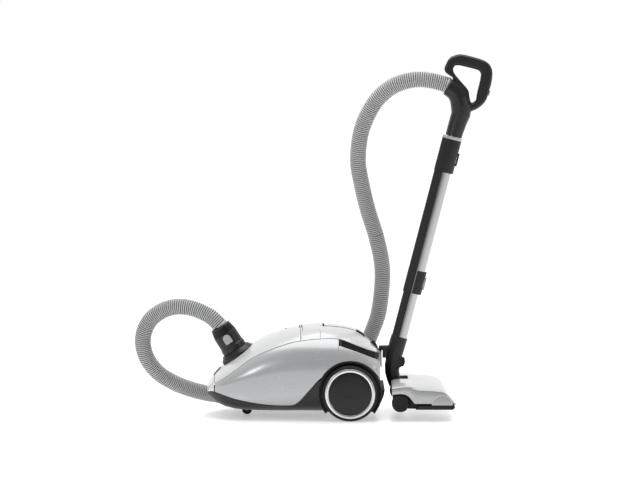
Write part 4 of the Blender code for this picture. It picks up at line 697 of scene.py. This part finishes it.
def studio():
    scene = bpy.context.scene
    deselect()
    bpy.ops.mesh.primitive_plane_add(size=30, location=(0, 0, -0.0002))
    floor = bpy.context.object
    floor.name = "floor"
    paper = bpy.data.materials.new("studio_floor")
    paper.use_nodes = True
    tree = paper.node_tree
    shader = tree.nodes["Principled BSDF"]
    shader.inputs["Base Color"].default_value = (0.93, 0.93, 0.93, 1)
    shader.inputs["Roughness"].default_value = 0.24
    shader.inputs["Specular IOR Level"].default_value = 0.45
    shader.inputs["Emission Color"].default_value = (1.0, 1.0, 1.0, 1)
    shader.inputs["Emission Strength"].default_value = 0.40
    floor.data.materials.append(paper)
    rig.stage(floor)
    world = bpy.data.worlds.new("studio")
    world.use_nodes = True
    tree = world.node_tree
    glow = tree.nodes["Background"]
    glow.inputs["Color"].default_value = (1.0, 1.0, 1.0, 1)
    place = node(tree, "ShaderNodeTexCoord")
    parts = node(tree, "ShaderNodeSeparateXYZ")
    dimmed = node(tree, "ShaderNodeMapRange", in_From_Min=-0.7, in_From_Max=0.3, in_To_Min=0.24,
                  in_To_Max=1.0)
    wire(tree, (place.outputs["Generated"], parts.inputs[0]), (parts.outputs["Y"], dimmed.inputs["Value"]),
         (dimmed.outputs["Result"], glow.inputs["Strength"]))
    scene.world = world
    scene.view_settings.view_transform = "Standard"
    for name, place, target, size, energy in (
        ("top_softbox", (-0.1, 0.1, 2.4), (0, 0, 0.2), 1.8, 30),
        ("front_left_softbox", (-1.9, -2.4, 1.6), (0, 0, 0.25), 0.9, 16),
        ("right_strip", (2.3, -1.2, 1.1), (0.1, 0, 0.3), 0.6, 6),
    ):
        data = bpy.data.lights.new(name, "AREA")
        data.shape, data.size, data.energy = "SQUARE", size, energy
        lamp = bpy.data.objects.new(name, data)
        scene.collection.objects.link(lamp)
        lamp.location = place
        lamp.rotation_mode = "QUATERNION"
        lamp.rotation_quaternion = (Vector(target) - Vector(place)).to_track_quat("-Z", "Y")
    camera = bpy.data.objects.new("camera", bpy.data.cameras.new("camera"))
    scene.collection.objects.link(camera)
    elevation, distance = math.radians(4.5), 8.0
    target = Vector((-0.0713, 0, 0.4205))
    back = Vector((0, -math.cos(elevation), math.sin(elevation)))
    camera.location = target + back * distance
    camera.rotation_mode = "QUATERNION"
    camera.rotation_quaternion = (-back).to_track_quat("-Z", "Y")
    camera.data.sensor_width = 36
    camera.data.lens = 36 * distance / 1.536
    camera.data.clip_end = 100
    scene.camera = camera


# ---------------------------------------------------------------- hose

def route(points, spacing):
    points = [Vector(p) for p in points]
    ends = [2 * points[0] - points[1], *points, 2 * points[-1] - points[-2]]
    fine = []
    for a, b, c, d in zip(ends, ends[1:], ends[2:], ends[3:]):
        for k in range(16):
            t = k / 16
            fine.append(0.5 * (2 * b + (c - a) * t + (2 * a - 5 * b + 4 * c - d) * t * t
                               + (3 * b - a - 3 * c + d) * t ** 3))
    fine.append(points[-1])
    run = [0.0]
    for a, b in zip(fine, fine[1:]):
        run.append(run[-1] + (b - a).length)
    count = max(round(run[-1] / spacing), 2)
    found, i = [], 0
    for k in range(count + 1):
        goal = run[-1] * k / count
        while i < len(run) - 2 and run[i + 1] < goal:
            i += 1
        found.append(fine[i].lerp(fine[i + 1], (goal - run[i]) / (run[i + 1] - run[i])))
    return found


RIB_PITCH, RINGS_PER_RIB, HOSE_SIDES = 0.0048, 6, 28
RIB_DEPTH = 0.0026


def ribbed(name, points):
    """A corrugated tube along points: a rounded rib every few millimetres, and closed ends."""
    total = sum((b - a).length for a, b in zip(points, points[1:]))
    ribs = max(round(total / RIB_PITCH), 4)
    line = route(points, total / (ribs * RINGS_PER_RIB))
    deselect()
    bpy.ops.mesh.primitive_circle_add(vertices=HOSE_SIDES, radius=1, fill_type="NOTHING")
    piece = bpy.context.object
    ring = [Vector(v.co) for v in piece.data.vertices]
    across = Vector((0, 1, 0))
    vertices, faces, crests = [], [], []
    for k, p in enumerate(line):
        ahead = (line[min(k + 1, len(line) - 1)] - line[max(k - 1, 0)]).normalized()
        across = (across - ahead * across.dot(ahead)).normalized()
        other = ahead.cross(across)
        share = (k % RINGS_PER_RIB) / RINGS_PER_RIB
        crest = 0.5 - 0.5 * math.cos(2 * math.pi * share)
        radius = HOSE_RADIUS - RIB_DEPTH + RIB_DEPTH * crest ** 0.6
        crests += [crest] * HOSE_SIDES
        vertices += [p + (across * c.x + other * c.y) * radius for c in ring]
    count = len(line)
    for k in range(count - 1):
        for j in range(HOSE_SIDES):
            n = (j + 1) % HOSE_SIDES
            faces.append((k * HOSE_SIDES + j, k * HOSE_SIDES + n, (k + 1) * HOSE_SIDES + n,
                          (k + 1) * HOSE_SIDES + j))
    faces.append(tuple(range(HOSE_SIDES - 1, -1, -1)))
    faces.append(tuple((count - 1) * HOSE_SIDES + j for j in range(HOSE_SIDES)))
    piece.data.clear_geometry()
    piece.data.from_pydata([tuple(v) for v in vertices], [], faces)
    height = piece.data.attributes.new("rib_height", "FLOAT", "POINT")
    height.data.foreach_set("value", crests)
    outward(piece)
    return piece, [tuple(p) for p in line[::RINGS_PER_RIB]] + [tuple(line[-1])], total


def hose():
    start = INLET_CENTRE + INLET_AXIS * CUFF_END
    end = handle_point(HOSE_JOINT) - HOSE_ENTRY * 0.0003
    rest = HOSE_RADIUS + 0.0005
    front = [start, start + INLET_AXIS * 0.006, (-0.3380, 0.003, 0.2375), (-0.3800, 0.009, 0.2550),
             (-0.4200, 0.017, 0.2575),
             (-0.4560, 0.027, 0.2450), (-0.4850, 0.038, 0.2190), (-0.5000, 0.050, 0.1780),
             (-0.4930, 0.063, 0.1320), (-0.4660, 0.078, 0.0920), (-0.4260, 0.094, 0.0640),
             (-0.3800, 0.114, 0.0440), (-0.3300, 0.138, 0.0300), (-0.2800, 0.158, 0.0220),
             (-0.2300, 0.170, rest), (-0.1800, 0.176, rest), FRONT_END]
    middle = [FRONT_END, (-0.0900, 0.178, 0.0215), (-0.0500, 0.178, 0.0310), (-0.0130, 0.177, 0.0560),
              (0.0160, 0.175, 0.0960), (0.0390, 0.172, 0.1400), (0.0580, 0.168, 0.1860),
              (0.0730, 0.162, 0.2330), (0.0812, 0.150, 0.3100), (0.0780, 0.138, 0.3640), MIDDLE_END]
    upper = [MIDDLE_END, (0.0440, 0.108, 0.4890), (0.0280, 0.090, 0.5570), (0.0205, 0.075, 0.6080),
             (0.0260, 0.056, 0.6700), (0.0420, 0.040, 0.7170), (0.0660, 0.027, 0.7570),
             (0.1000, 0.015, 0.7870), (0.1350, 0.007, 0.8010), (0.1650, 0.003, 0.8055),
             (0.1980, 0.001, 0.8020), end - HOSE_ENTRY * 0.006, end]
    for name, points, bodies, ends in (
        ("hose_front", front, ("lid", "canister"), (start, (-0.4930, 0.063, 0.1320))),
        ("hose_middle", middle, ("canister", "wand"), ((-0.0130, 0.177, 0.0560), MIDDLE_END)),
        ("hose_upper", upper, ("wand", "upper_wand"), (MIDDLE_END, end)),
    ):
        piece, line, total = ribbed(name, [Vector(p) for p in points])
        done(piece, name + "_ribbed", "hose_grey", None, [name], angle=70)
        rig.blend(piece, *bodies, start=ends[0], end=ends[1])
        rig.cord(piece, exit=line[0], length=round(total, 3), diameter=2 * HOSE_RADIUS, far_end="object",
                stiffness="medium", lay="loose", path=line)


# ---------------------------------------------------------------- body

def over_place(xs, edge, end=math.pi / 2, inset=0.0):
    def place(u, v):
        x = xs[round(u * (len(xs) - 1))]
        side, share = (-1, 1 - 2 * v) if v < 0.5 else (1, 2 * v - 1)
        return skin(x, end + (angle_at(x, edge(x)) - end) * share, inset, side)
    return place


def covers():
    xs = spaced(LID_FRONT_X, LID_REAR_X, 73)
    lid = sheet_piece(72, 64, over_place(xs, lambda x: COVER_LINE(x) + SEAM / 2))
    thicken(lid, 0.0025, Vector((0, 0, 1)))
    apply_all(lid)
    trim(lid, drum(INLET_CENTRE, INLET_AXIS, RING_RADIUS + 0.0006, 0.06),
         block((LID_FRONT_X - 0.01, -LATCH_HALF - 0.0012, 0.05),
               (LATCH_TOP_X + LATCH_SWING, LATCH_HALF + 0.0012, 0.15)),
         block((LID_REAR_X - 0.0035, -0.0303, 0.20), (LID_REAR_X + 0.01, 0.0303, 0.25)),
         drum(Vector((-0.152, 0, CROWN(-0.152))), (0, 0, 1), 0.0043, 0.04))
    round_edges(lid, 0.0005)
    apply_all(lid)
    done(lid, "lid_cover", "lid_white", "lid", ["lid_shell"])

    xs = spaced(DECK_FRONT_X, TAIL_X, 73)
    deck = sheet_piece(72, 64, over_place(xs, lambda x: COVER_LINE(x) + SEAM / 2))
    thicken(deck, 0.0025, Vector((0, 0, 1)))
    apply_all(deck)
    cutters = [block((RECESS_FRONT_X, -RECESS_HALF, 0.16), (RECESS_REAR_X, RECESS_HALF, 0.30)),
               block((LID_REAR_X - 0.01, -0.0303, 0.20), (LID_REAR_X + 0.0035, 0.0303, 0.25)),
               block((DOCK_FRONT_X - 0.0003, -DOCK_HALF - 0.0003, 0.1),
                     (TAIL_X + 0.02, DOCK_HALF + 0.0003, 0.25))]
    for side in (1, -1):
        low, high = sorted((side * (PEDAL_INNER - 0.0008), side * (PEDAL_OUTER + 0.0008)))
        cutters.append(block((PEDAL_FRONT_X - 0.0008, low, 0.15), (PEDAL_REAR_X + 0.0008, high, 0.25)))
    for low, high in ((PEDAL_OUTER + 0.0012, 0.14), (-0.14, -PEDAL_OUTER - 0.0012)):
        cutters.append(block((PEDAL_REAR_X + 0.0001, low, 0.15), (PEDAL_REAR_X + 0.0008, high, 0.25)))
    trim(deck, *cutters)
    round_edges(deck, 0.0004)
    apply_all(deck)
    done(deck, "rear_deck_cover", "lid_white", "canister", ["rear_deck"])

    tray = block((RECESS_FRONT_X - 0.002, -RECESS_HALF - 0.002, 0.17),
                 (RECESS_REAR_X + 0.002, RECESS_HALF + 0.002, 0.19))
    for point in tray.data.vertices:
        top = point.co.z > 0.18
        point.co.z = surface(point.co.x, point.co.y) - 0.0008 if top else recess_floor(point.co.x) - 0.0024
    hollow = block((RECESS_FRONT_X, -RECESS_HALF, 0.17), (RECESS_REAR_X, RECESS_HALF, 0.30))
    for point in hollow.data.vertices:
        if point.co.z < 0.2:
            point.co.z = recess_floor(point.co.x)
    trim(tray, hollow)
    round_edges(tray, 0.0006)
    apply_all(tray)
    done(tray, "handle_recess", "matte_black", "canister")

    half = BODY_HALF_WIDTH * FULLNESS(TAIL_X) - 0.006
    tail = block((TAIL_X - 0.003, -half, 0.124), (TAIL_X, half, COVER_LINE(TAIL_X) + 0.0025))
    trim(tail, block((DOCK_FRONT_X - 0.0003, -DOCK_HALF - 0.0003, DOCK_LOW - 0.001),
                     (TAIL_X + 0.02, DOCK_HALF + 0.0003, 0.25)))
    round_edges(tail, 0.0008, 3)
    apply_all(tail)
    done(tail, "tail_strip", "lid_white", "canister")


def side_panels():
    for name, side in (("left", 1), ("right", -1)):
        step = [VENT_FRONT_X - SEAM - 0.0006, VENT_FRONT_X - SEAM, VENT_REAR_X + SEAM,
                VENT_REAR_X + SEAM + 0.0006]
        xs = sorted([x for x in spaced(LID_FRONT_X + SEAM, PANEL_REAR_X,
                                       97) if all(abs(x - s) > 0.0012 for s in step)]
                    + step)

        def place(u, v, side=side, xs=xs):
            x = xs[round(u * (len(xs) - 1))]
            in_vent = VENT_FRONT_X - SEAM - 0.0002 < x < VENT_REAR_X + SEAM + 0.0002
            top = (VENT_LINE(x) if in_vent else COVER_LINE(x)) - SEAM / 2
            low, high = angle_at(x, BASE_LINE(x) + SEAM / 2), angle_at(x, top)
            return skin(x, low + (high - low) * v, 0.0, side)
        panel = sheet_piece(len(xs) - 1, 34, place)
        thicken(panel, 0.0025, Vector((0, side, 0)))
        apply_all(panel)
        trim(panel, drum((0, side * 0.125, WHEEL_RADIUS), (0, 1, 0), 0.0775, 0.15, 128))
        round_edges(panel, 0.0005)
        apply_all(panel)
        done(panel, "side_cover_" + name, "panel_silver", "canister", ["side_panel_" + name])

        def louvred(u, v, side=side):
            x = VENT_FRONT_X + SEAM + (VENT_REAR_X - VENT_FRONT_X - 2 * SEAM) * u
            low = angle_at(x, VENT_LINE(x) + SEAM / 2)
            high = angle_at(x, COVER_LINE(x) - SEAM / 2)
            rim = u < 0.05 or u > 0.95 or v < 0.08 or v > 0.92
            tooth = (v * 5) % 1.0
            return skin(x, low + (high - low) * v, 0.0002 if rim else 0.0004 + 0.0022 * tooth, side)
        vent = sheet_piece(60, 60, louvred)
        thicken(vent, 0.0015, Vector((0, side, 0)))
        apply_all(vent)
        done(vent, "vent_louvres_" + name, "matte_black", "canister", ["vent_grille_" + name], angle=25)


def nose():
    rows = 48
    fronts = [(0.0035 * (1 - math.sin(t)), NOSE_X + 0.0030 * (1 - math.cos(t)))
              for t in spaced(0, math.pi / 2, 6)]
    stations = fronts + [(0.0, x) for x in spaced(NOSE_X + 0.0045, LID_FRONT_X - SEAM, 14)]

    def place(u, v):
        inset, x = stations[round(u * (len(stations) - 1))]
        side, share = (-1, 1 - 2 * v) if v < 0.5 else (1, 2 * v - 1)
        low = angle_at(x, BASE_LINE(x) + SEAM / 2)
        return skin(x, math.pi / 2 + (low - math.pi / 2) * share, inset, side)
    cap = sheet_piece(len(stations) - 1, rows, place)
    only(cap)
    bpy.ops.object.mode_set(mode="EDIT")
    bpy.ops.mesh.select_all(action="DESELECT")
    bpy.ops.mesh.select_non_manifold()
    bpy.ops.mesh.edge_face_add()
    bpy.ops.mesh.select_all(action="SELECT")
    bpy.ops.mesh.quads_convert_to_tris()
    bpy.ops.mesh.normals_make_consistent(inside=False)
    bpy.ops.object.mode_set(mode="OBJECT")
    return cap


def fine_patch(front, rear, half, lift, depth):
    """A small panel that follows the crown, from its own fine grid."""
    patch = sheet_piece(28, 28, lambda u, v: Vector((
        front + (rear - front) * u, half[0] + (half[1] - half[0]) * v,
        surface(front + (rear - front) * u, half[0] + (half[1] - half[0]) * v) + lift)))
    thicken(patch, depth, Vector((0, 0, 1)))
    round_edges(patch, 0.0010, 3, 50)
    apply_all(patch)
    return patch


def top_fittings():
    for name, side in (("power", 1), ("rewind", -1)):
        half = sorted((side * PEDAL_INNER, side * PEDAL_OUTER))
        pedal = fine_patch(PEDAL_FRONT_X, PEDAL_REAR_X, half, 0.0002, 0.0048)
        done(pedal, name + "_foot_pedal", "lid_white", name + "_pedal", [name + "_pedal"])
    grip = fine_patch(HANDLE_FRONT_X, HANDLE_REAR_X, (-HANDLE_HALF, HANDLE_HALF), 0.0, 0.0088)
    done(grip, "carry_handle_grip", "lid_white", "carry_handle", ["carry_handle"])
    pin = drum((HANDLE_FRONT_X + 0.005, 0, surface(HANDLE_FRONT_X, 0) - 0.0055), (0, 1, 0), 0.0024,
               0.0714, 24)
    round_edges(pin, 0.0004)
    apply_all(pin)
    done(pin, "carry_handle_pivot_pin", "satin_black", "carry_handle")
    latch = fine_patch(LATCH_FOOT_X, LATCH_TOP_X, (-LATCH_HALF, LATCH_HALF), 0.0019, 0.0060)
    done(latch, "latch_paddle", "satin_black", "latch", ["latch_lever"])


# ---------------------------------------------------------------- wheels

def rear_wheels():
    inner = WHEEL_RADIUS - TYRE_THICKNESS
    back, out = WHEEL_OUT_Y - WHEEL_WIDTH, WHEEL_OUT_Y
    for name, side in (("left", 1), ("right", -1)):
        centre, axis = Vector((0, 0, WHEEL_RADIUS)), (0, side, 0)
        tread = [(inner, back), (WHEEL_RADIUS - 0.003, back), (WHEEL_RADIUS, back + 0.003)]
        for k in range(3):
            y = back + 0.008 + 0.0075 * k
            tread += [(WHEEL_RADIUS, y - 0.0008), (WHEEL_RADIUS - 0.0012, y), (WHEEL_RADIUS, y + 0.0008)]
        tread += [(WHEEL_RADIUS, out - 0.005), (WHEEL_RADIUS - 0.0012, out - 0.0018),
                  (WHEEL_RADIUS - 0.0040, out), (inner, out)]
        tyre = turned(tread, centre, axis, 128)
        done(tyre, "tyre_" + name + "_ribbed", "tyre_rubber", "wheel_" + name, ["tyre_" + name])
        ring = turned(rounded([(inner - 0.0003, out - 0.003), (inner - 0.0003, out + 0.0008),
                               (inner - TRIM_WIDTH / 2, out + 0.0019), (inner - TRIM_WIDTH, out + 0.0014),
                               (inner - TRIM_WIDTH, out - 0.003)], 0.0006), centre, axis, 128)
        done(ring, "trim_ring_" + name + "_polished", "trim_silver", "wheel_" + name, ["trim_ring_" + name])
        hub = inner - TRIM_WIDTH - 0.0003
        dome = [(hub * math.sin(t), out - 0.0012 + 0.0040 * math.cos(t)) for t in spaced(math.pi / 2, 0, 12)]
        dome[0:0] = [(hub, out - 0.0035)]
        profile = [(0.0043, back), (inner - 0.0003, back), (inner - 0.0003, out - 0.0035)] + dome[:-1] + [
            (0.010, dome[-2][1] + 0.0002), (0.0085, dome[-2][1] - 0.0006), (0, dome[-2][1] - 0.0006),
            (0, out - 0.009), (0.0043, out - 0.009)]
        cap = turned(profile, centre, axis, 128)
        done(cap, "wheel_hub_" + name + "_domed", "satin_black", "wheel_" + name, ["wheel_hub_" + name],
             angle=25)


def caster_wheel():
    tread = rounded([(0, -0.006), (0.0120, -0.006), (0.0120, 0.006), (0, 0.006)], 0.0018)
    wheel = turned(tread, Vector((-0.247, 0, 0.012)), (0, 1, 0), 48, closed=False)
    done(wheel, "caster_wheel_rounded", "tyre_rubber", "caster_wheel", ["caster_wheel"])
    pin = drum((-0.247, 0, 0.012), (0, 1, 0), 0.0019, 0.0190, 20)
    round_edges(pin, 0.0003)
    apply_all(pin)
    done(pin, "caster_pin", "turned_steel", "caster_wheel")


# ---------------------------------------------------------------- inlet and cuff

def inlet():
    ring = turned(rounded([
        (RING_RADIUS, -0.010), (RING_RADIUS, 0.003), (RING_RADIUS - 0.003, 0.006),
        (RING_TOP_RADIUS + 0.001, RING_HEIGHT - 0.001), (RING_TOP_RADIUS - 0.003, RING_HEIGHT),
        (SPIGOT_RADIUS + 0.0008, RING_HEIGHT), (SPIGOT_RADIUS + 0.0008, -0.010)], 0.0008, 3),
        INLET_CENTRE, INLET_AXIS)
    done(ring, "inlet_collar", "satin_black", "lid", ["inlet_ring"])
    start = RING_HEIGHT + 0.0003
    bore = HOSE_RADIUS - 0.0020
    outer = [(SPIGOT_RADIUS, -0.008), (SPIGOT_RADIUS, start), (CUFF_RADIUS - 0.0006, start),
             (CUFF_RADIUS, start + 0.0008), (CUFF_RADIUS, start + 0.011),
             (CUFF_RADIUS - 0.0016, start + 0.0135),
             (CUFF_RADIUS - 0.0018, start + 0.045)]
    for k in range(5):
        z = start + 0.0465 + 0.0030 * k
        r = CUFF_RADIUS - 0.0022 - (CUFF_RADIUS - 0.0022 - CUFF_TOP_RADIUS - 0.0006) * k / 4.0
        outer += [(r - 0.0011, z), (r, z + 0.0006), (r, z + 0.0020), (r - 0.0011, z + 0.0026)]
    outer += [(CUFF_TOP_RADIUS, CUFF_END - 0.0015), (CUFF_TOP_RADIUS - 0.0012, CUFF_END), (bore, CUFF_END),
              (bore, -0.008)]
    cuff = turned(outer, INLET_CENTRE, INLET_AXIS)
    low, high, half = start + 0.020, start + 0.043, 0.0095
    face = CUFF_RADIUS - 0.0010
    u = INLET_AXIS.cross(Vector((0, 1, 0))).normalized()

    def key(grow, near, far):
        """The round-topped button's outline, drawn, filled and extruded."""
        outline = [(-half - grow, low - grow), (half + grow, low - grow)]
        outline += [((half + grow) * math.cos(t), high - half + (half + grow) * math.sin(t))
                    for t in spaced(0, math.pi, 20)]
        mesh = bpy.data.meshes.new("key")
        mesh.from_pydata([tuple(INLET_CENTRE + u * p + INLET_AXIS * q + Vector((0, near, 0))) for p,
                          q in outline],
                         [], [tuple(range(len(outline)))])
        piece = bpy.data.objects.new("key", mesh)
        bpy.context.collection.objects.link(piece)
        only(piece)
        bpy.ops.object.mode_set(mode="EDIT")
        bpy.ops.mesh.select_all(action="SELECT")
        bpy.ops.mesh.extrude_region_move(TRANSFORM_OT_translate={"value": (0, far - near, 0)})
        bpy.ops.mesh.select_all(action="SELECT")
        bpy.ops.mesh.normals_make_consistent(inside=False)
        bpy.ops.object.mode_set(mode="OBJECT")
        return piece
    trim(cuff, key(0.0008, -0.05, -face + 0.0055))
    done(cuff, "hose_cuff_ridged", "satin_black", "cuff", ["hose_cuff"], angle=28)
    button = key(0.0, -face - 0.0006, -face + 0.0030)
    round_edges(button, 0.0010, 3)
    apply_all(button)
    done(button, "cuff_button_cap", "button_grey", "cuff_button", ["cuff_button"])


# ---------------------------------------------------------------- wand

def wand():
    base = wand_point(0, TUBE_ACROSS)
    lower = turned([(LOWER_RADIUS - TUBE_WALL, -0.0217), (LOWER_RADIUS, -0.0217),
                    (LOWER_RADIUS, LOWER_LENGTH),
                    (LOWER_RADIUS - TUBE_WALL, LOWER_LENGTH)], base, WAND_DIR, 64)
    done(lower, "lower_tube_chromed", "chromed_tube", "wand", ["lower_tube"])
    upper = turned([(UPPER_RADIUS - TUBE_WALL, COLLAR_START + 0.004), (UPPER_RADIUS, COLLAR_START + 0.004),
                    (UPPER_RADIUS, WAND_TOP + 0.015), (UPPER_RADIUS - TUBE_WALL, WAND_TOP + 0.015)],
                   base, WAND_DIR, 64)
    done(upper, "upper_tube_chromed", "chromed_tube", "upper_wand", ["upper_tube"])
    neck = softened(copy_of("neck_shell"), 0.0009, 6)
    done(neck, "neck_moulded", "satin_black", "wand", ["neck_shell"], angle=60)
    grip = softened(copy_of("handle"), 0.0011, 8)
    done(grip, "handle_moulded", "satin_black", "upper_wand", ["handle"], angle=60)


# ---------------------------------------------------------------- floor head

HEAD_FRONT_X, HEAD_REAR_X = 0.2510, 0.0990
HEAD_ARCH_RADIUS = 0.0236  # over the wheels


def floor_head():
    def top(u, v):
        x = HEAD_REAR_X + (HEAD_FRONT_X - HEAD_REAR_X) * u
        crease = HEAD_CREASE(x)
        t = math.pi * v
        return Vector((x, -HEAD_HALF_WIDTH * math.cos(t),
                       crease + max(HEAD_TOP(x) - crease, 0.0004) * max(math.sin(t), 0.0) ** 0.9))
    cover = sheet_piece(64, 72, top)
    thicken(cover, 0.0022, Vector((0, 0, 1)))
    apply_all(cover)
    trim(cover, block((0.05, -0.034, 0.02), (0.1400, 0.034, 0.12)))
    round_edges(cover, 0.0008, 3)
    apply_all(cover)
    done(cover, "head_top_cover", "lid_white", "floor_head", ["head_cover"])
    for name, side in (("left", 1), ("right", -1)):
        def flank(u, v, side=side):
            x = HEAD_REAR_X + 0.0006 + (HEAD_FRONT_X - HEAD_REAR_X - 0.0012) * u
            arch = max(HEAD_ARCH_RADIUS ** 2 - (x - PIVOT.x) ** 2, 0.0)
            low = max(HEAD_EDGE(x), PIVOT.z + math.sqrt(arch))
            high = HEAD_CREASE(x) - 0.0008
            bow = 0.0012 * math.sin(math.pi * v)
            return Vector((x, side * (HEAD_HALF_WIDTH - 0.0012 + bow), low + (high - low) * v))
        plate = sheet_piece(60, 14, flank)
        thicken(plate, 0.0020, Vector((0, side, 0)))
        apply_all(plate)
        outward(plate)
        round_edges(plate, 0.0005)
        apply_all(plate)
        done(plate, "head_side_plate_" + name, "panel_silver", "floor_head")
        cap_centre = Vector((0.2180, side * (HEAD_HALF_WIDTH - 0.0004), 0.0385))
        rim = turned(rounded([(0.0228, -0.0010), (0.0245, -0.0010), (0.0245, 0.0016), (0.0228, 0.0016)],
                             0.0005, 3),
                     cap_centre, (0, side, 0), 64)
        lens = turned(rounded([(0.0, -0.0008), (0.0226, -0.0008), (0.0226, 0.0006), (0.0, 0.0012)],
                              0.0004, 3),
                      cap_centre, (0, side, 0), 64, closed=False)
        for piece, finish, label in ((rim, "lid_white", "end_cap_rim_"), (lens, "panel_silver", "end_cap_")):
            trim(piece, block((0.15, side * 0.138 - 0.05, -0.05), (0.29, side * 0.138 + 0.05, 0.0385)))
            done(piece, label + name, finish, "floor_head")
    inside = HEAD_HALF_WIDTH - 0.024
    out = HEAD_HALF_WIDTH - 0.003
    wheel = turned([(0.003, inside), (HEAD_WHEEL_RADIUS - 0.001, inside), (HEAD_WHEEL_RADIUS, inside + 0.001),
                    (HEAD_WHEEL_RADIUS, out - 0.002), (HEAD_WHEEL_RADIUS - 0.002, out), (0.0130, out),
                    (0.0120, out - 0.0012), (0.0060, out - 0.0012), (0.0050, out - 0.0002), (0, out - 0.0002),
                    (0, -out + 0.0002), (0.0050, -out + 0.0002), (0.0060, -out + 0.0012),
                    (0.0120, -out + 0.0012),
                    (0.0130, -out), (HEAD_WHEEL_RADIUS - 0.002, -out), (HEAD_WHEEL_RADIUS, -out + 0.002),
                    (HEAD_WHEEL_RADIUS, -inside - 0.001), (HEAD_WHEEL_RADIUS - 0.001, -inside),
                    (0.003, -inside)],
                   PIVOT, (0, 1, 0), 64)
    done(wheel, "head_wheel_pair", "tyre_rubber", "head_wheels", ["head_wheels"])


# ---------------------------------------------------------------- the scene

studio()
hose()
covers()
side_panels()
cap = nose()
trim(cap, block((LATCH_FOOT_X - 0.0018, -LATCH_HALF - 0.0008, 0.0860),
                (LID_FRONT_X + 0.01, LATCH_HALF + 0.0008, 0.15)))
done(cap, "nose_cover", "lid_white", "canister", ["nose_cap"])
top_fittings()
rear_wheels()
caster_wheel()
inlet()
wand()
floor_head()
slot_of_node = {s["node"]: s["material_slot"] for s in frame["record"]["subparts"]}
for name, made in sorted(frame["nodes"].items()):
    if not made.hide_render:
        dress(name, SLOT_FINISH[slot_of_node[name]])

new_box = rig.bounds()
with open("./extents.json", "w") as out_file:
    json.dump({"cad": [list(p) for p in cad_box], "visual": [list(p) for p in new_box]}, out_file)
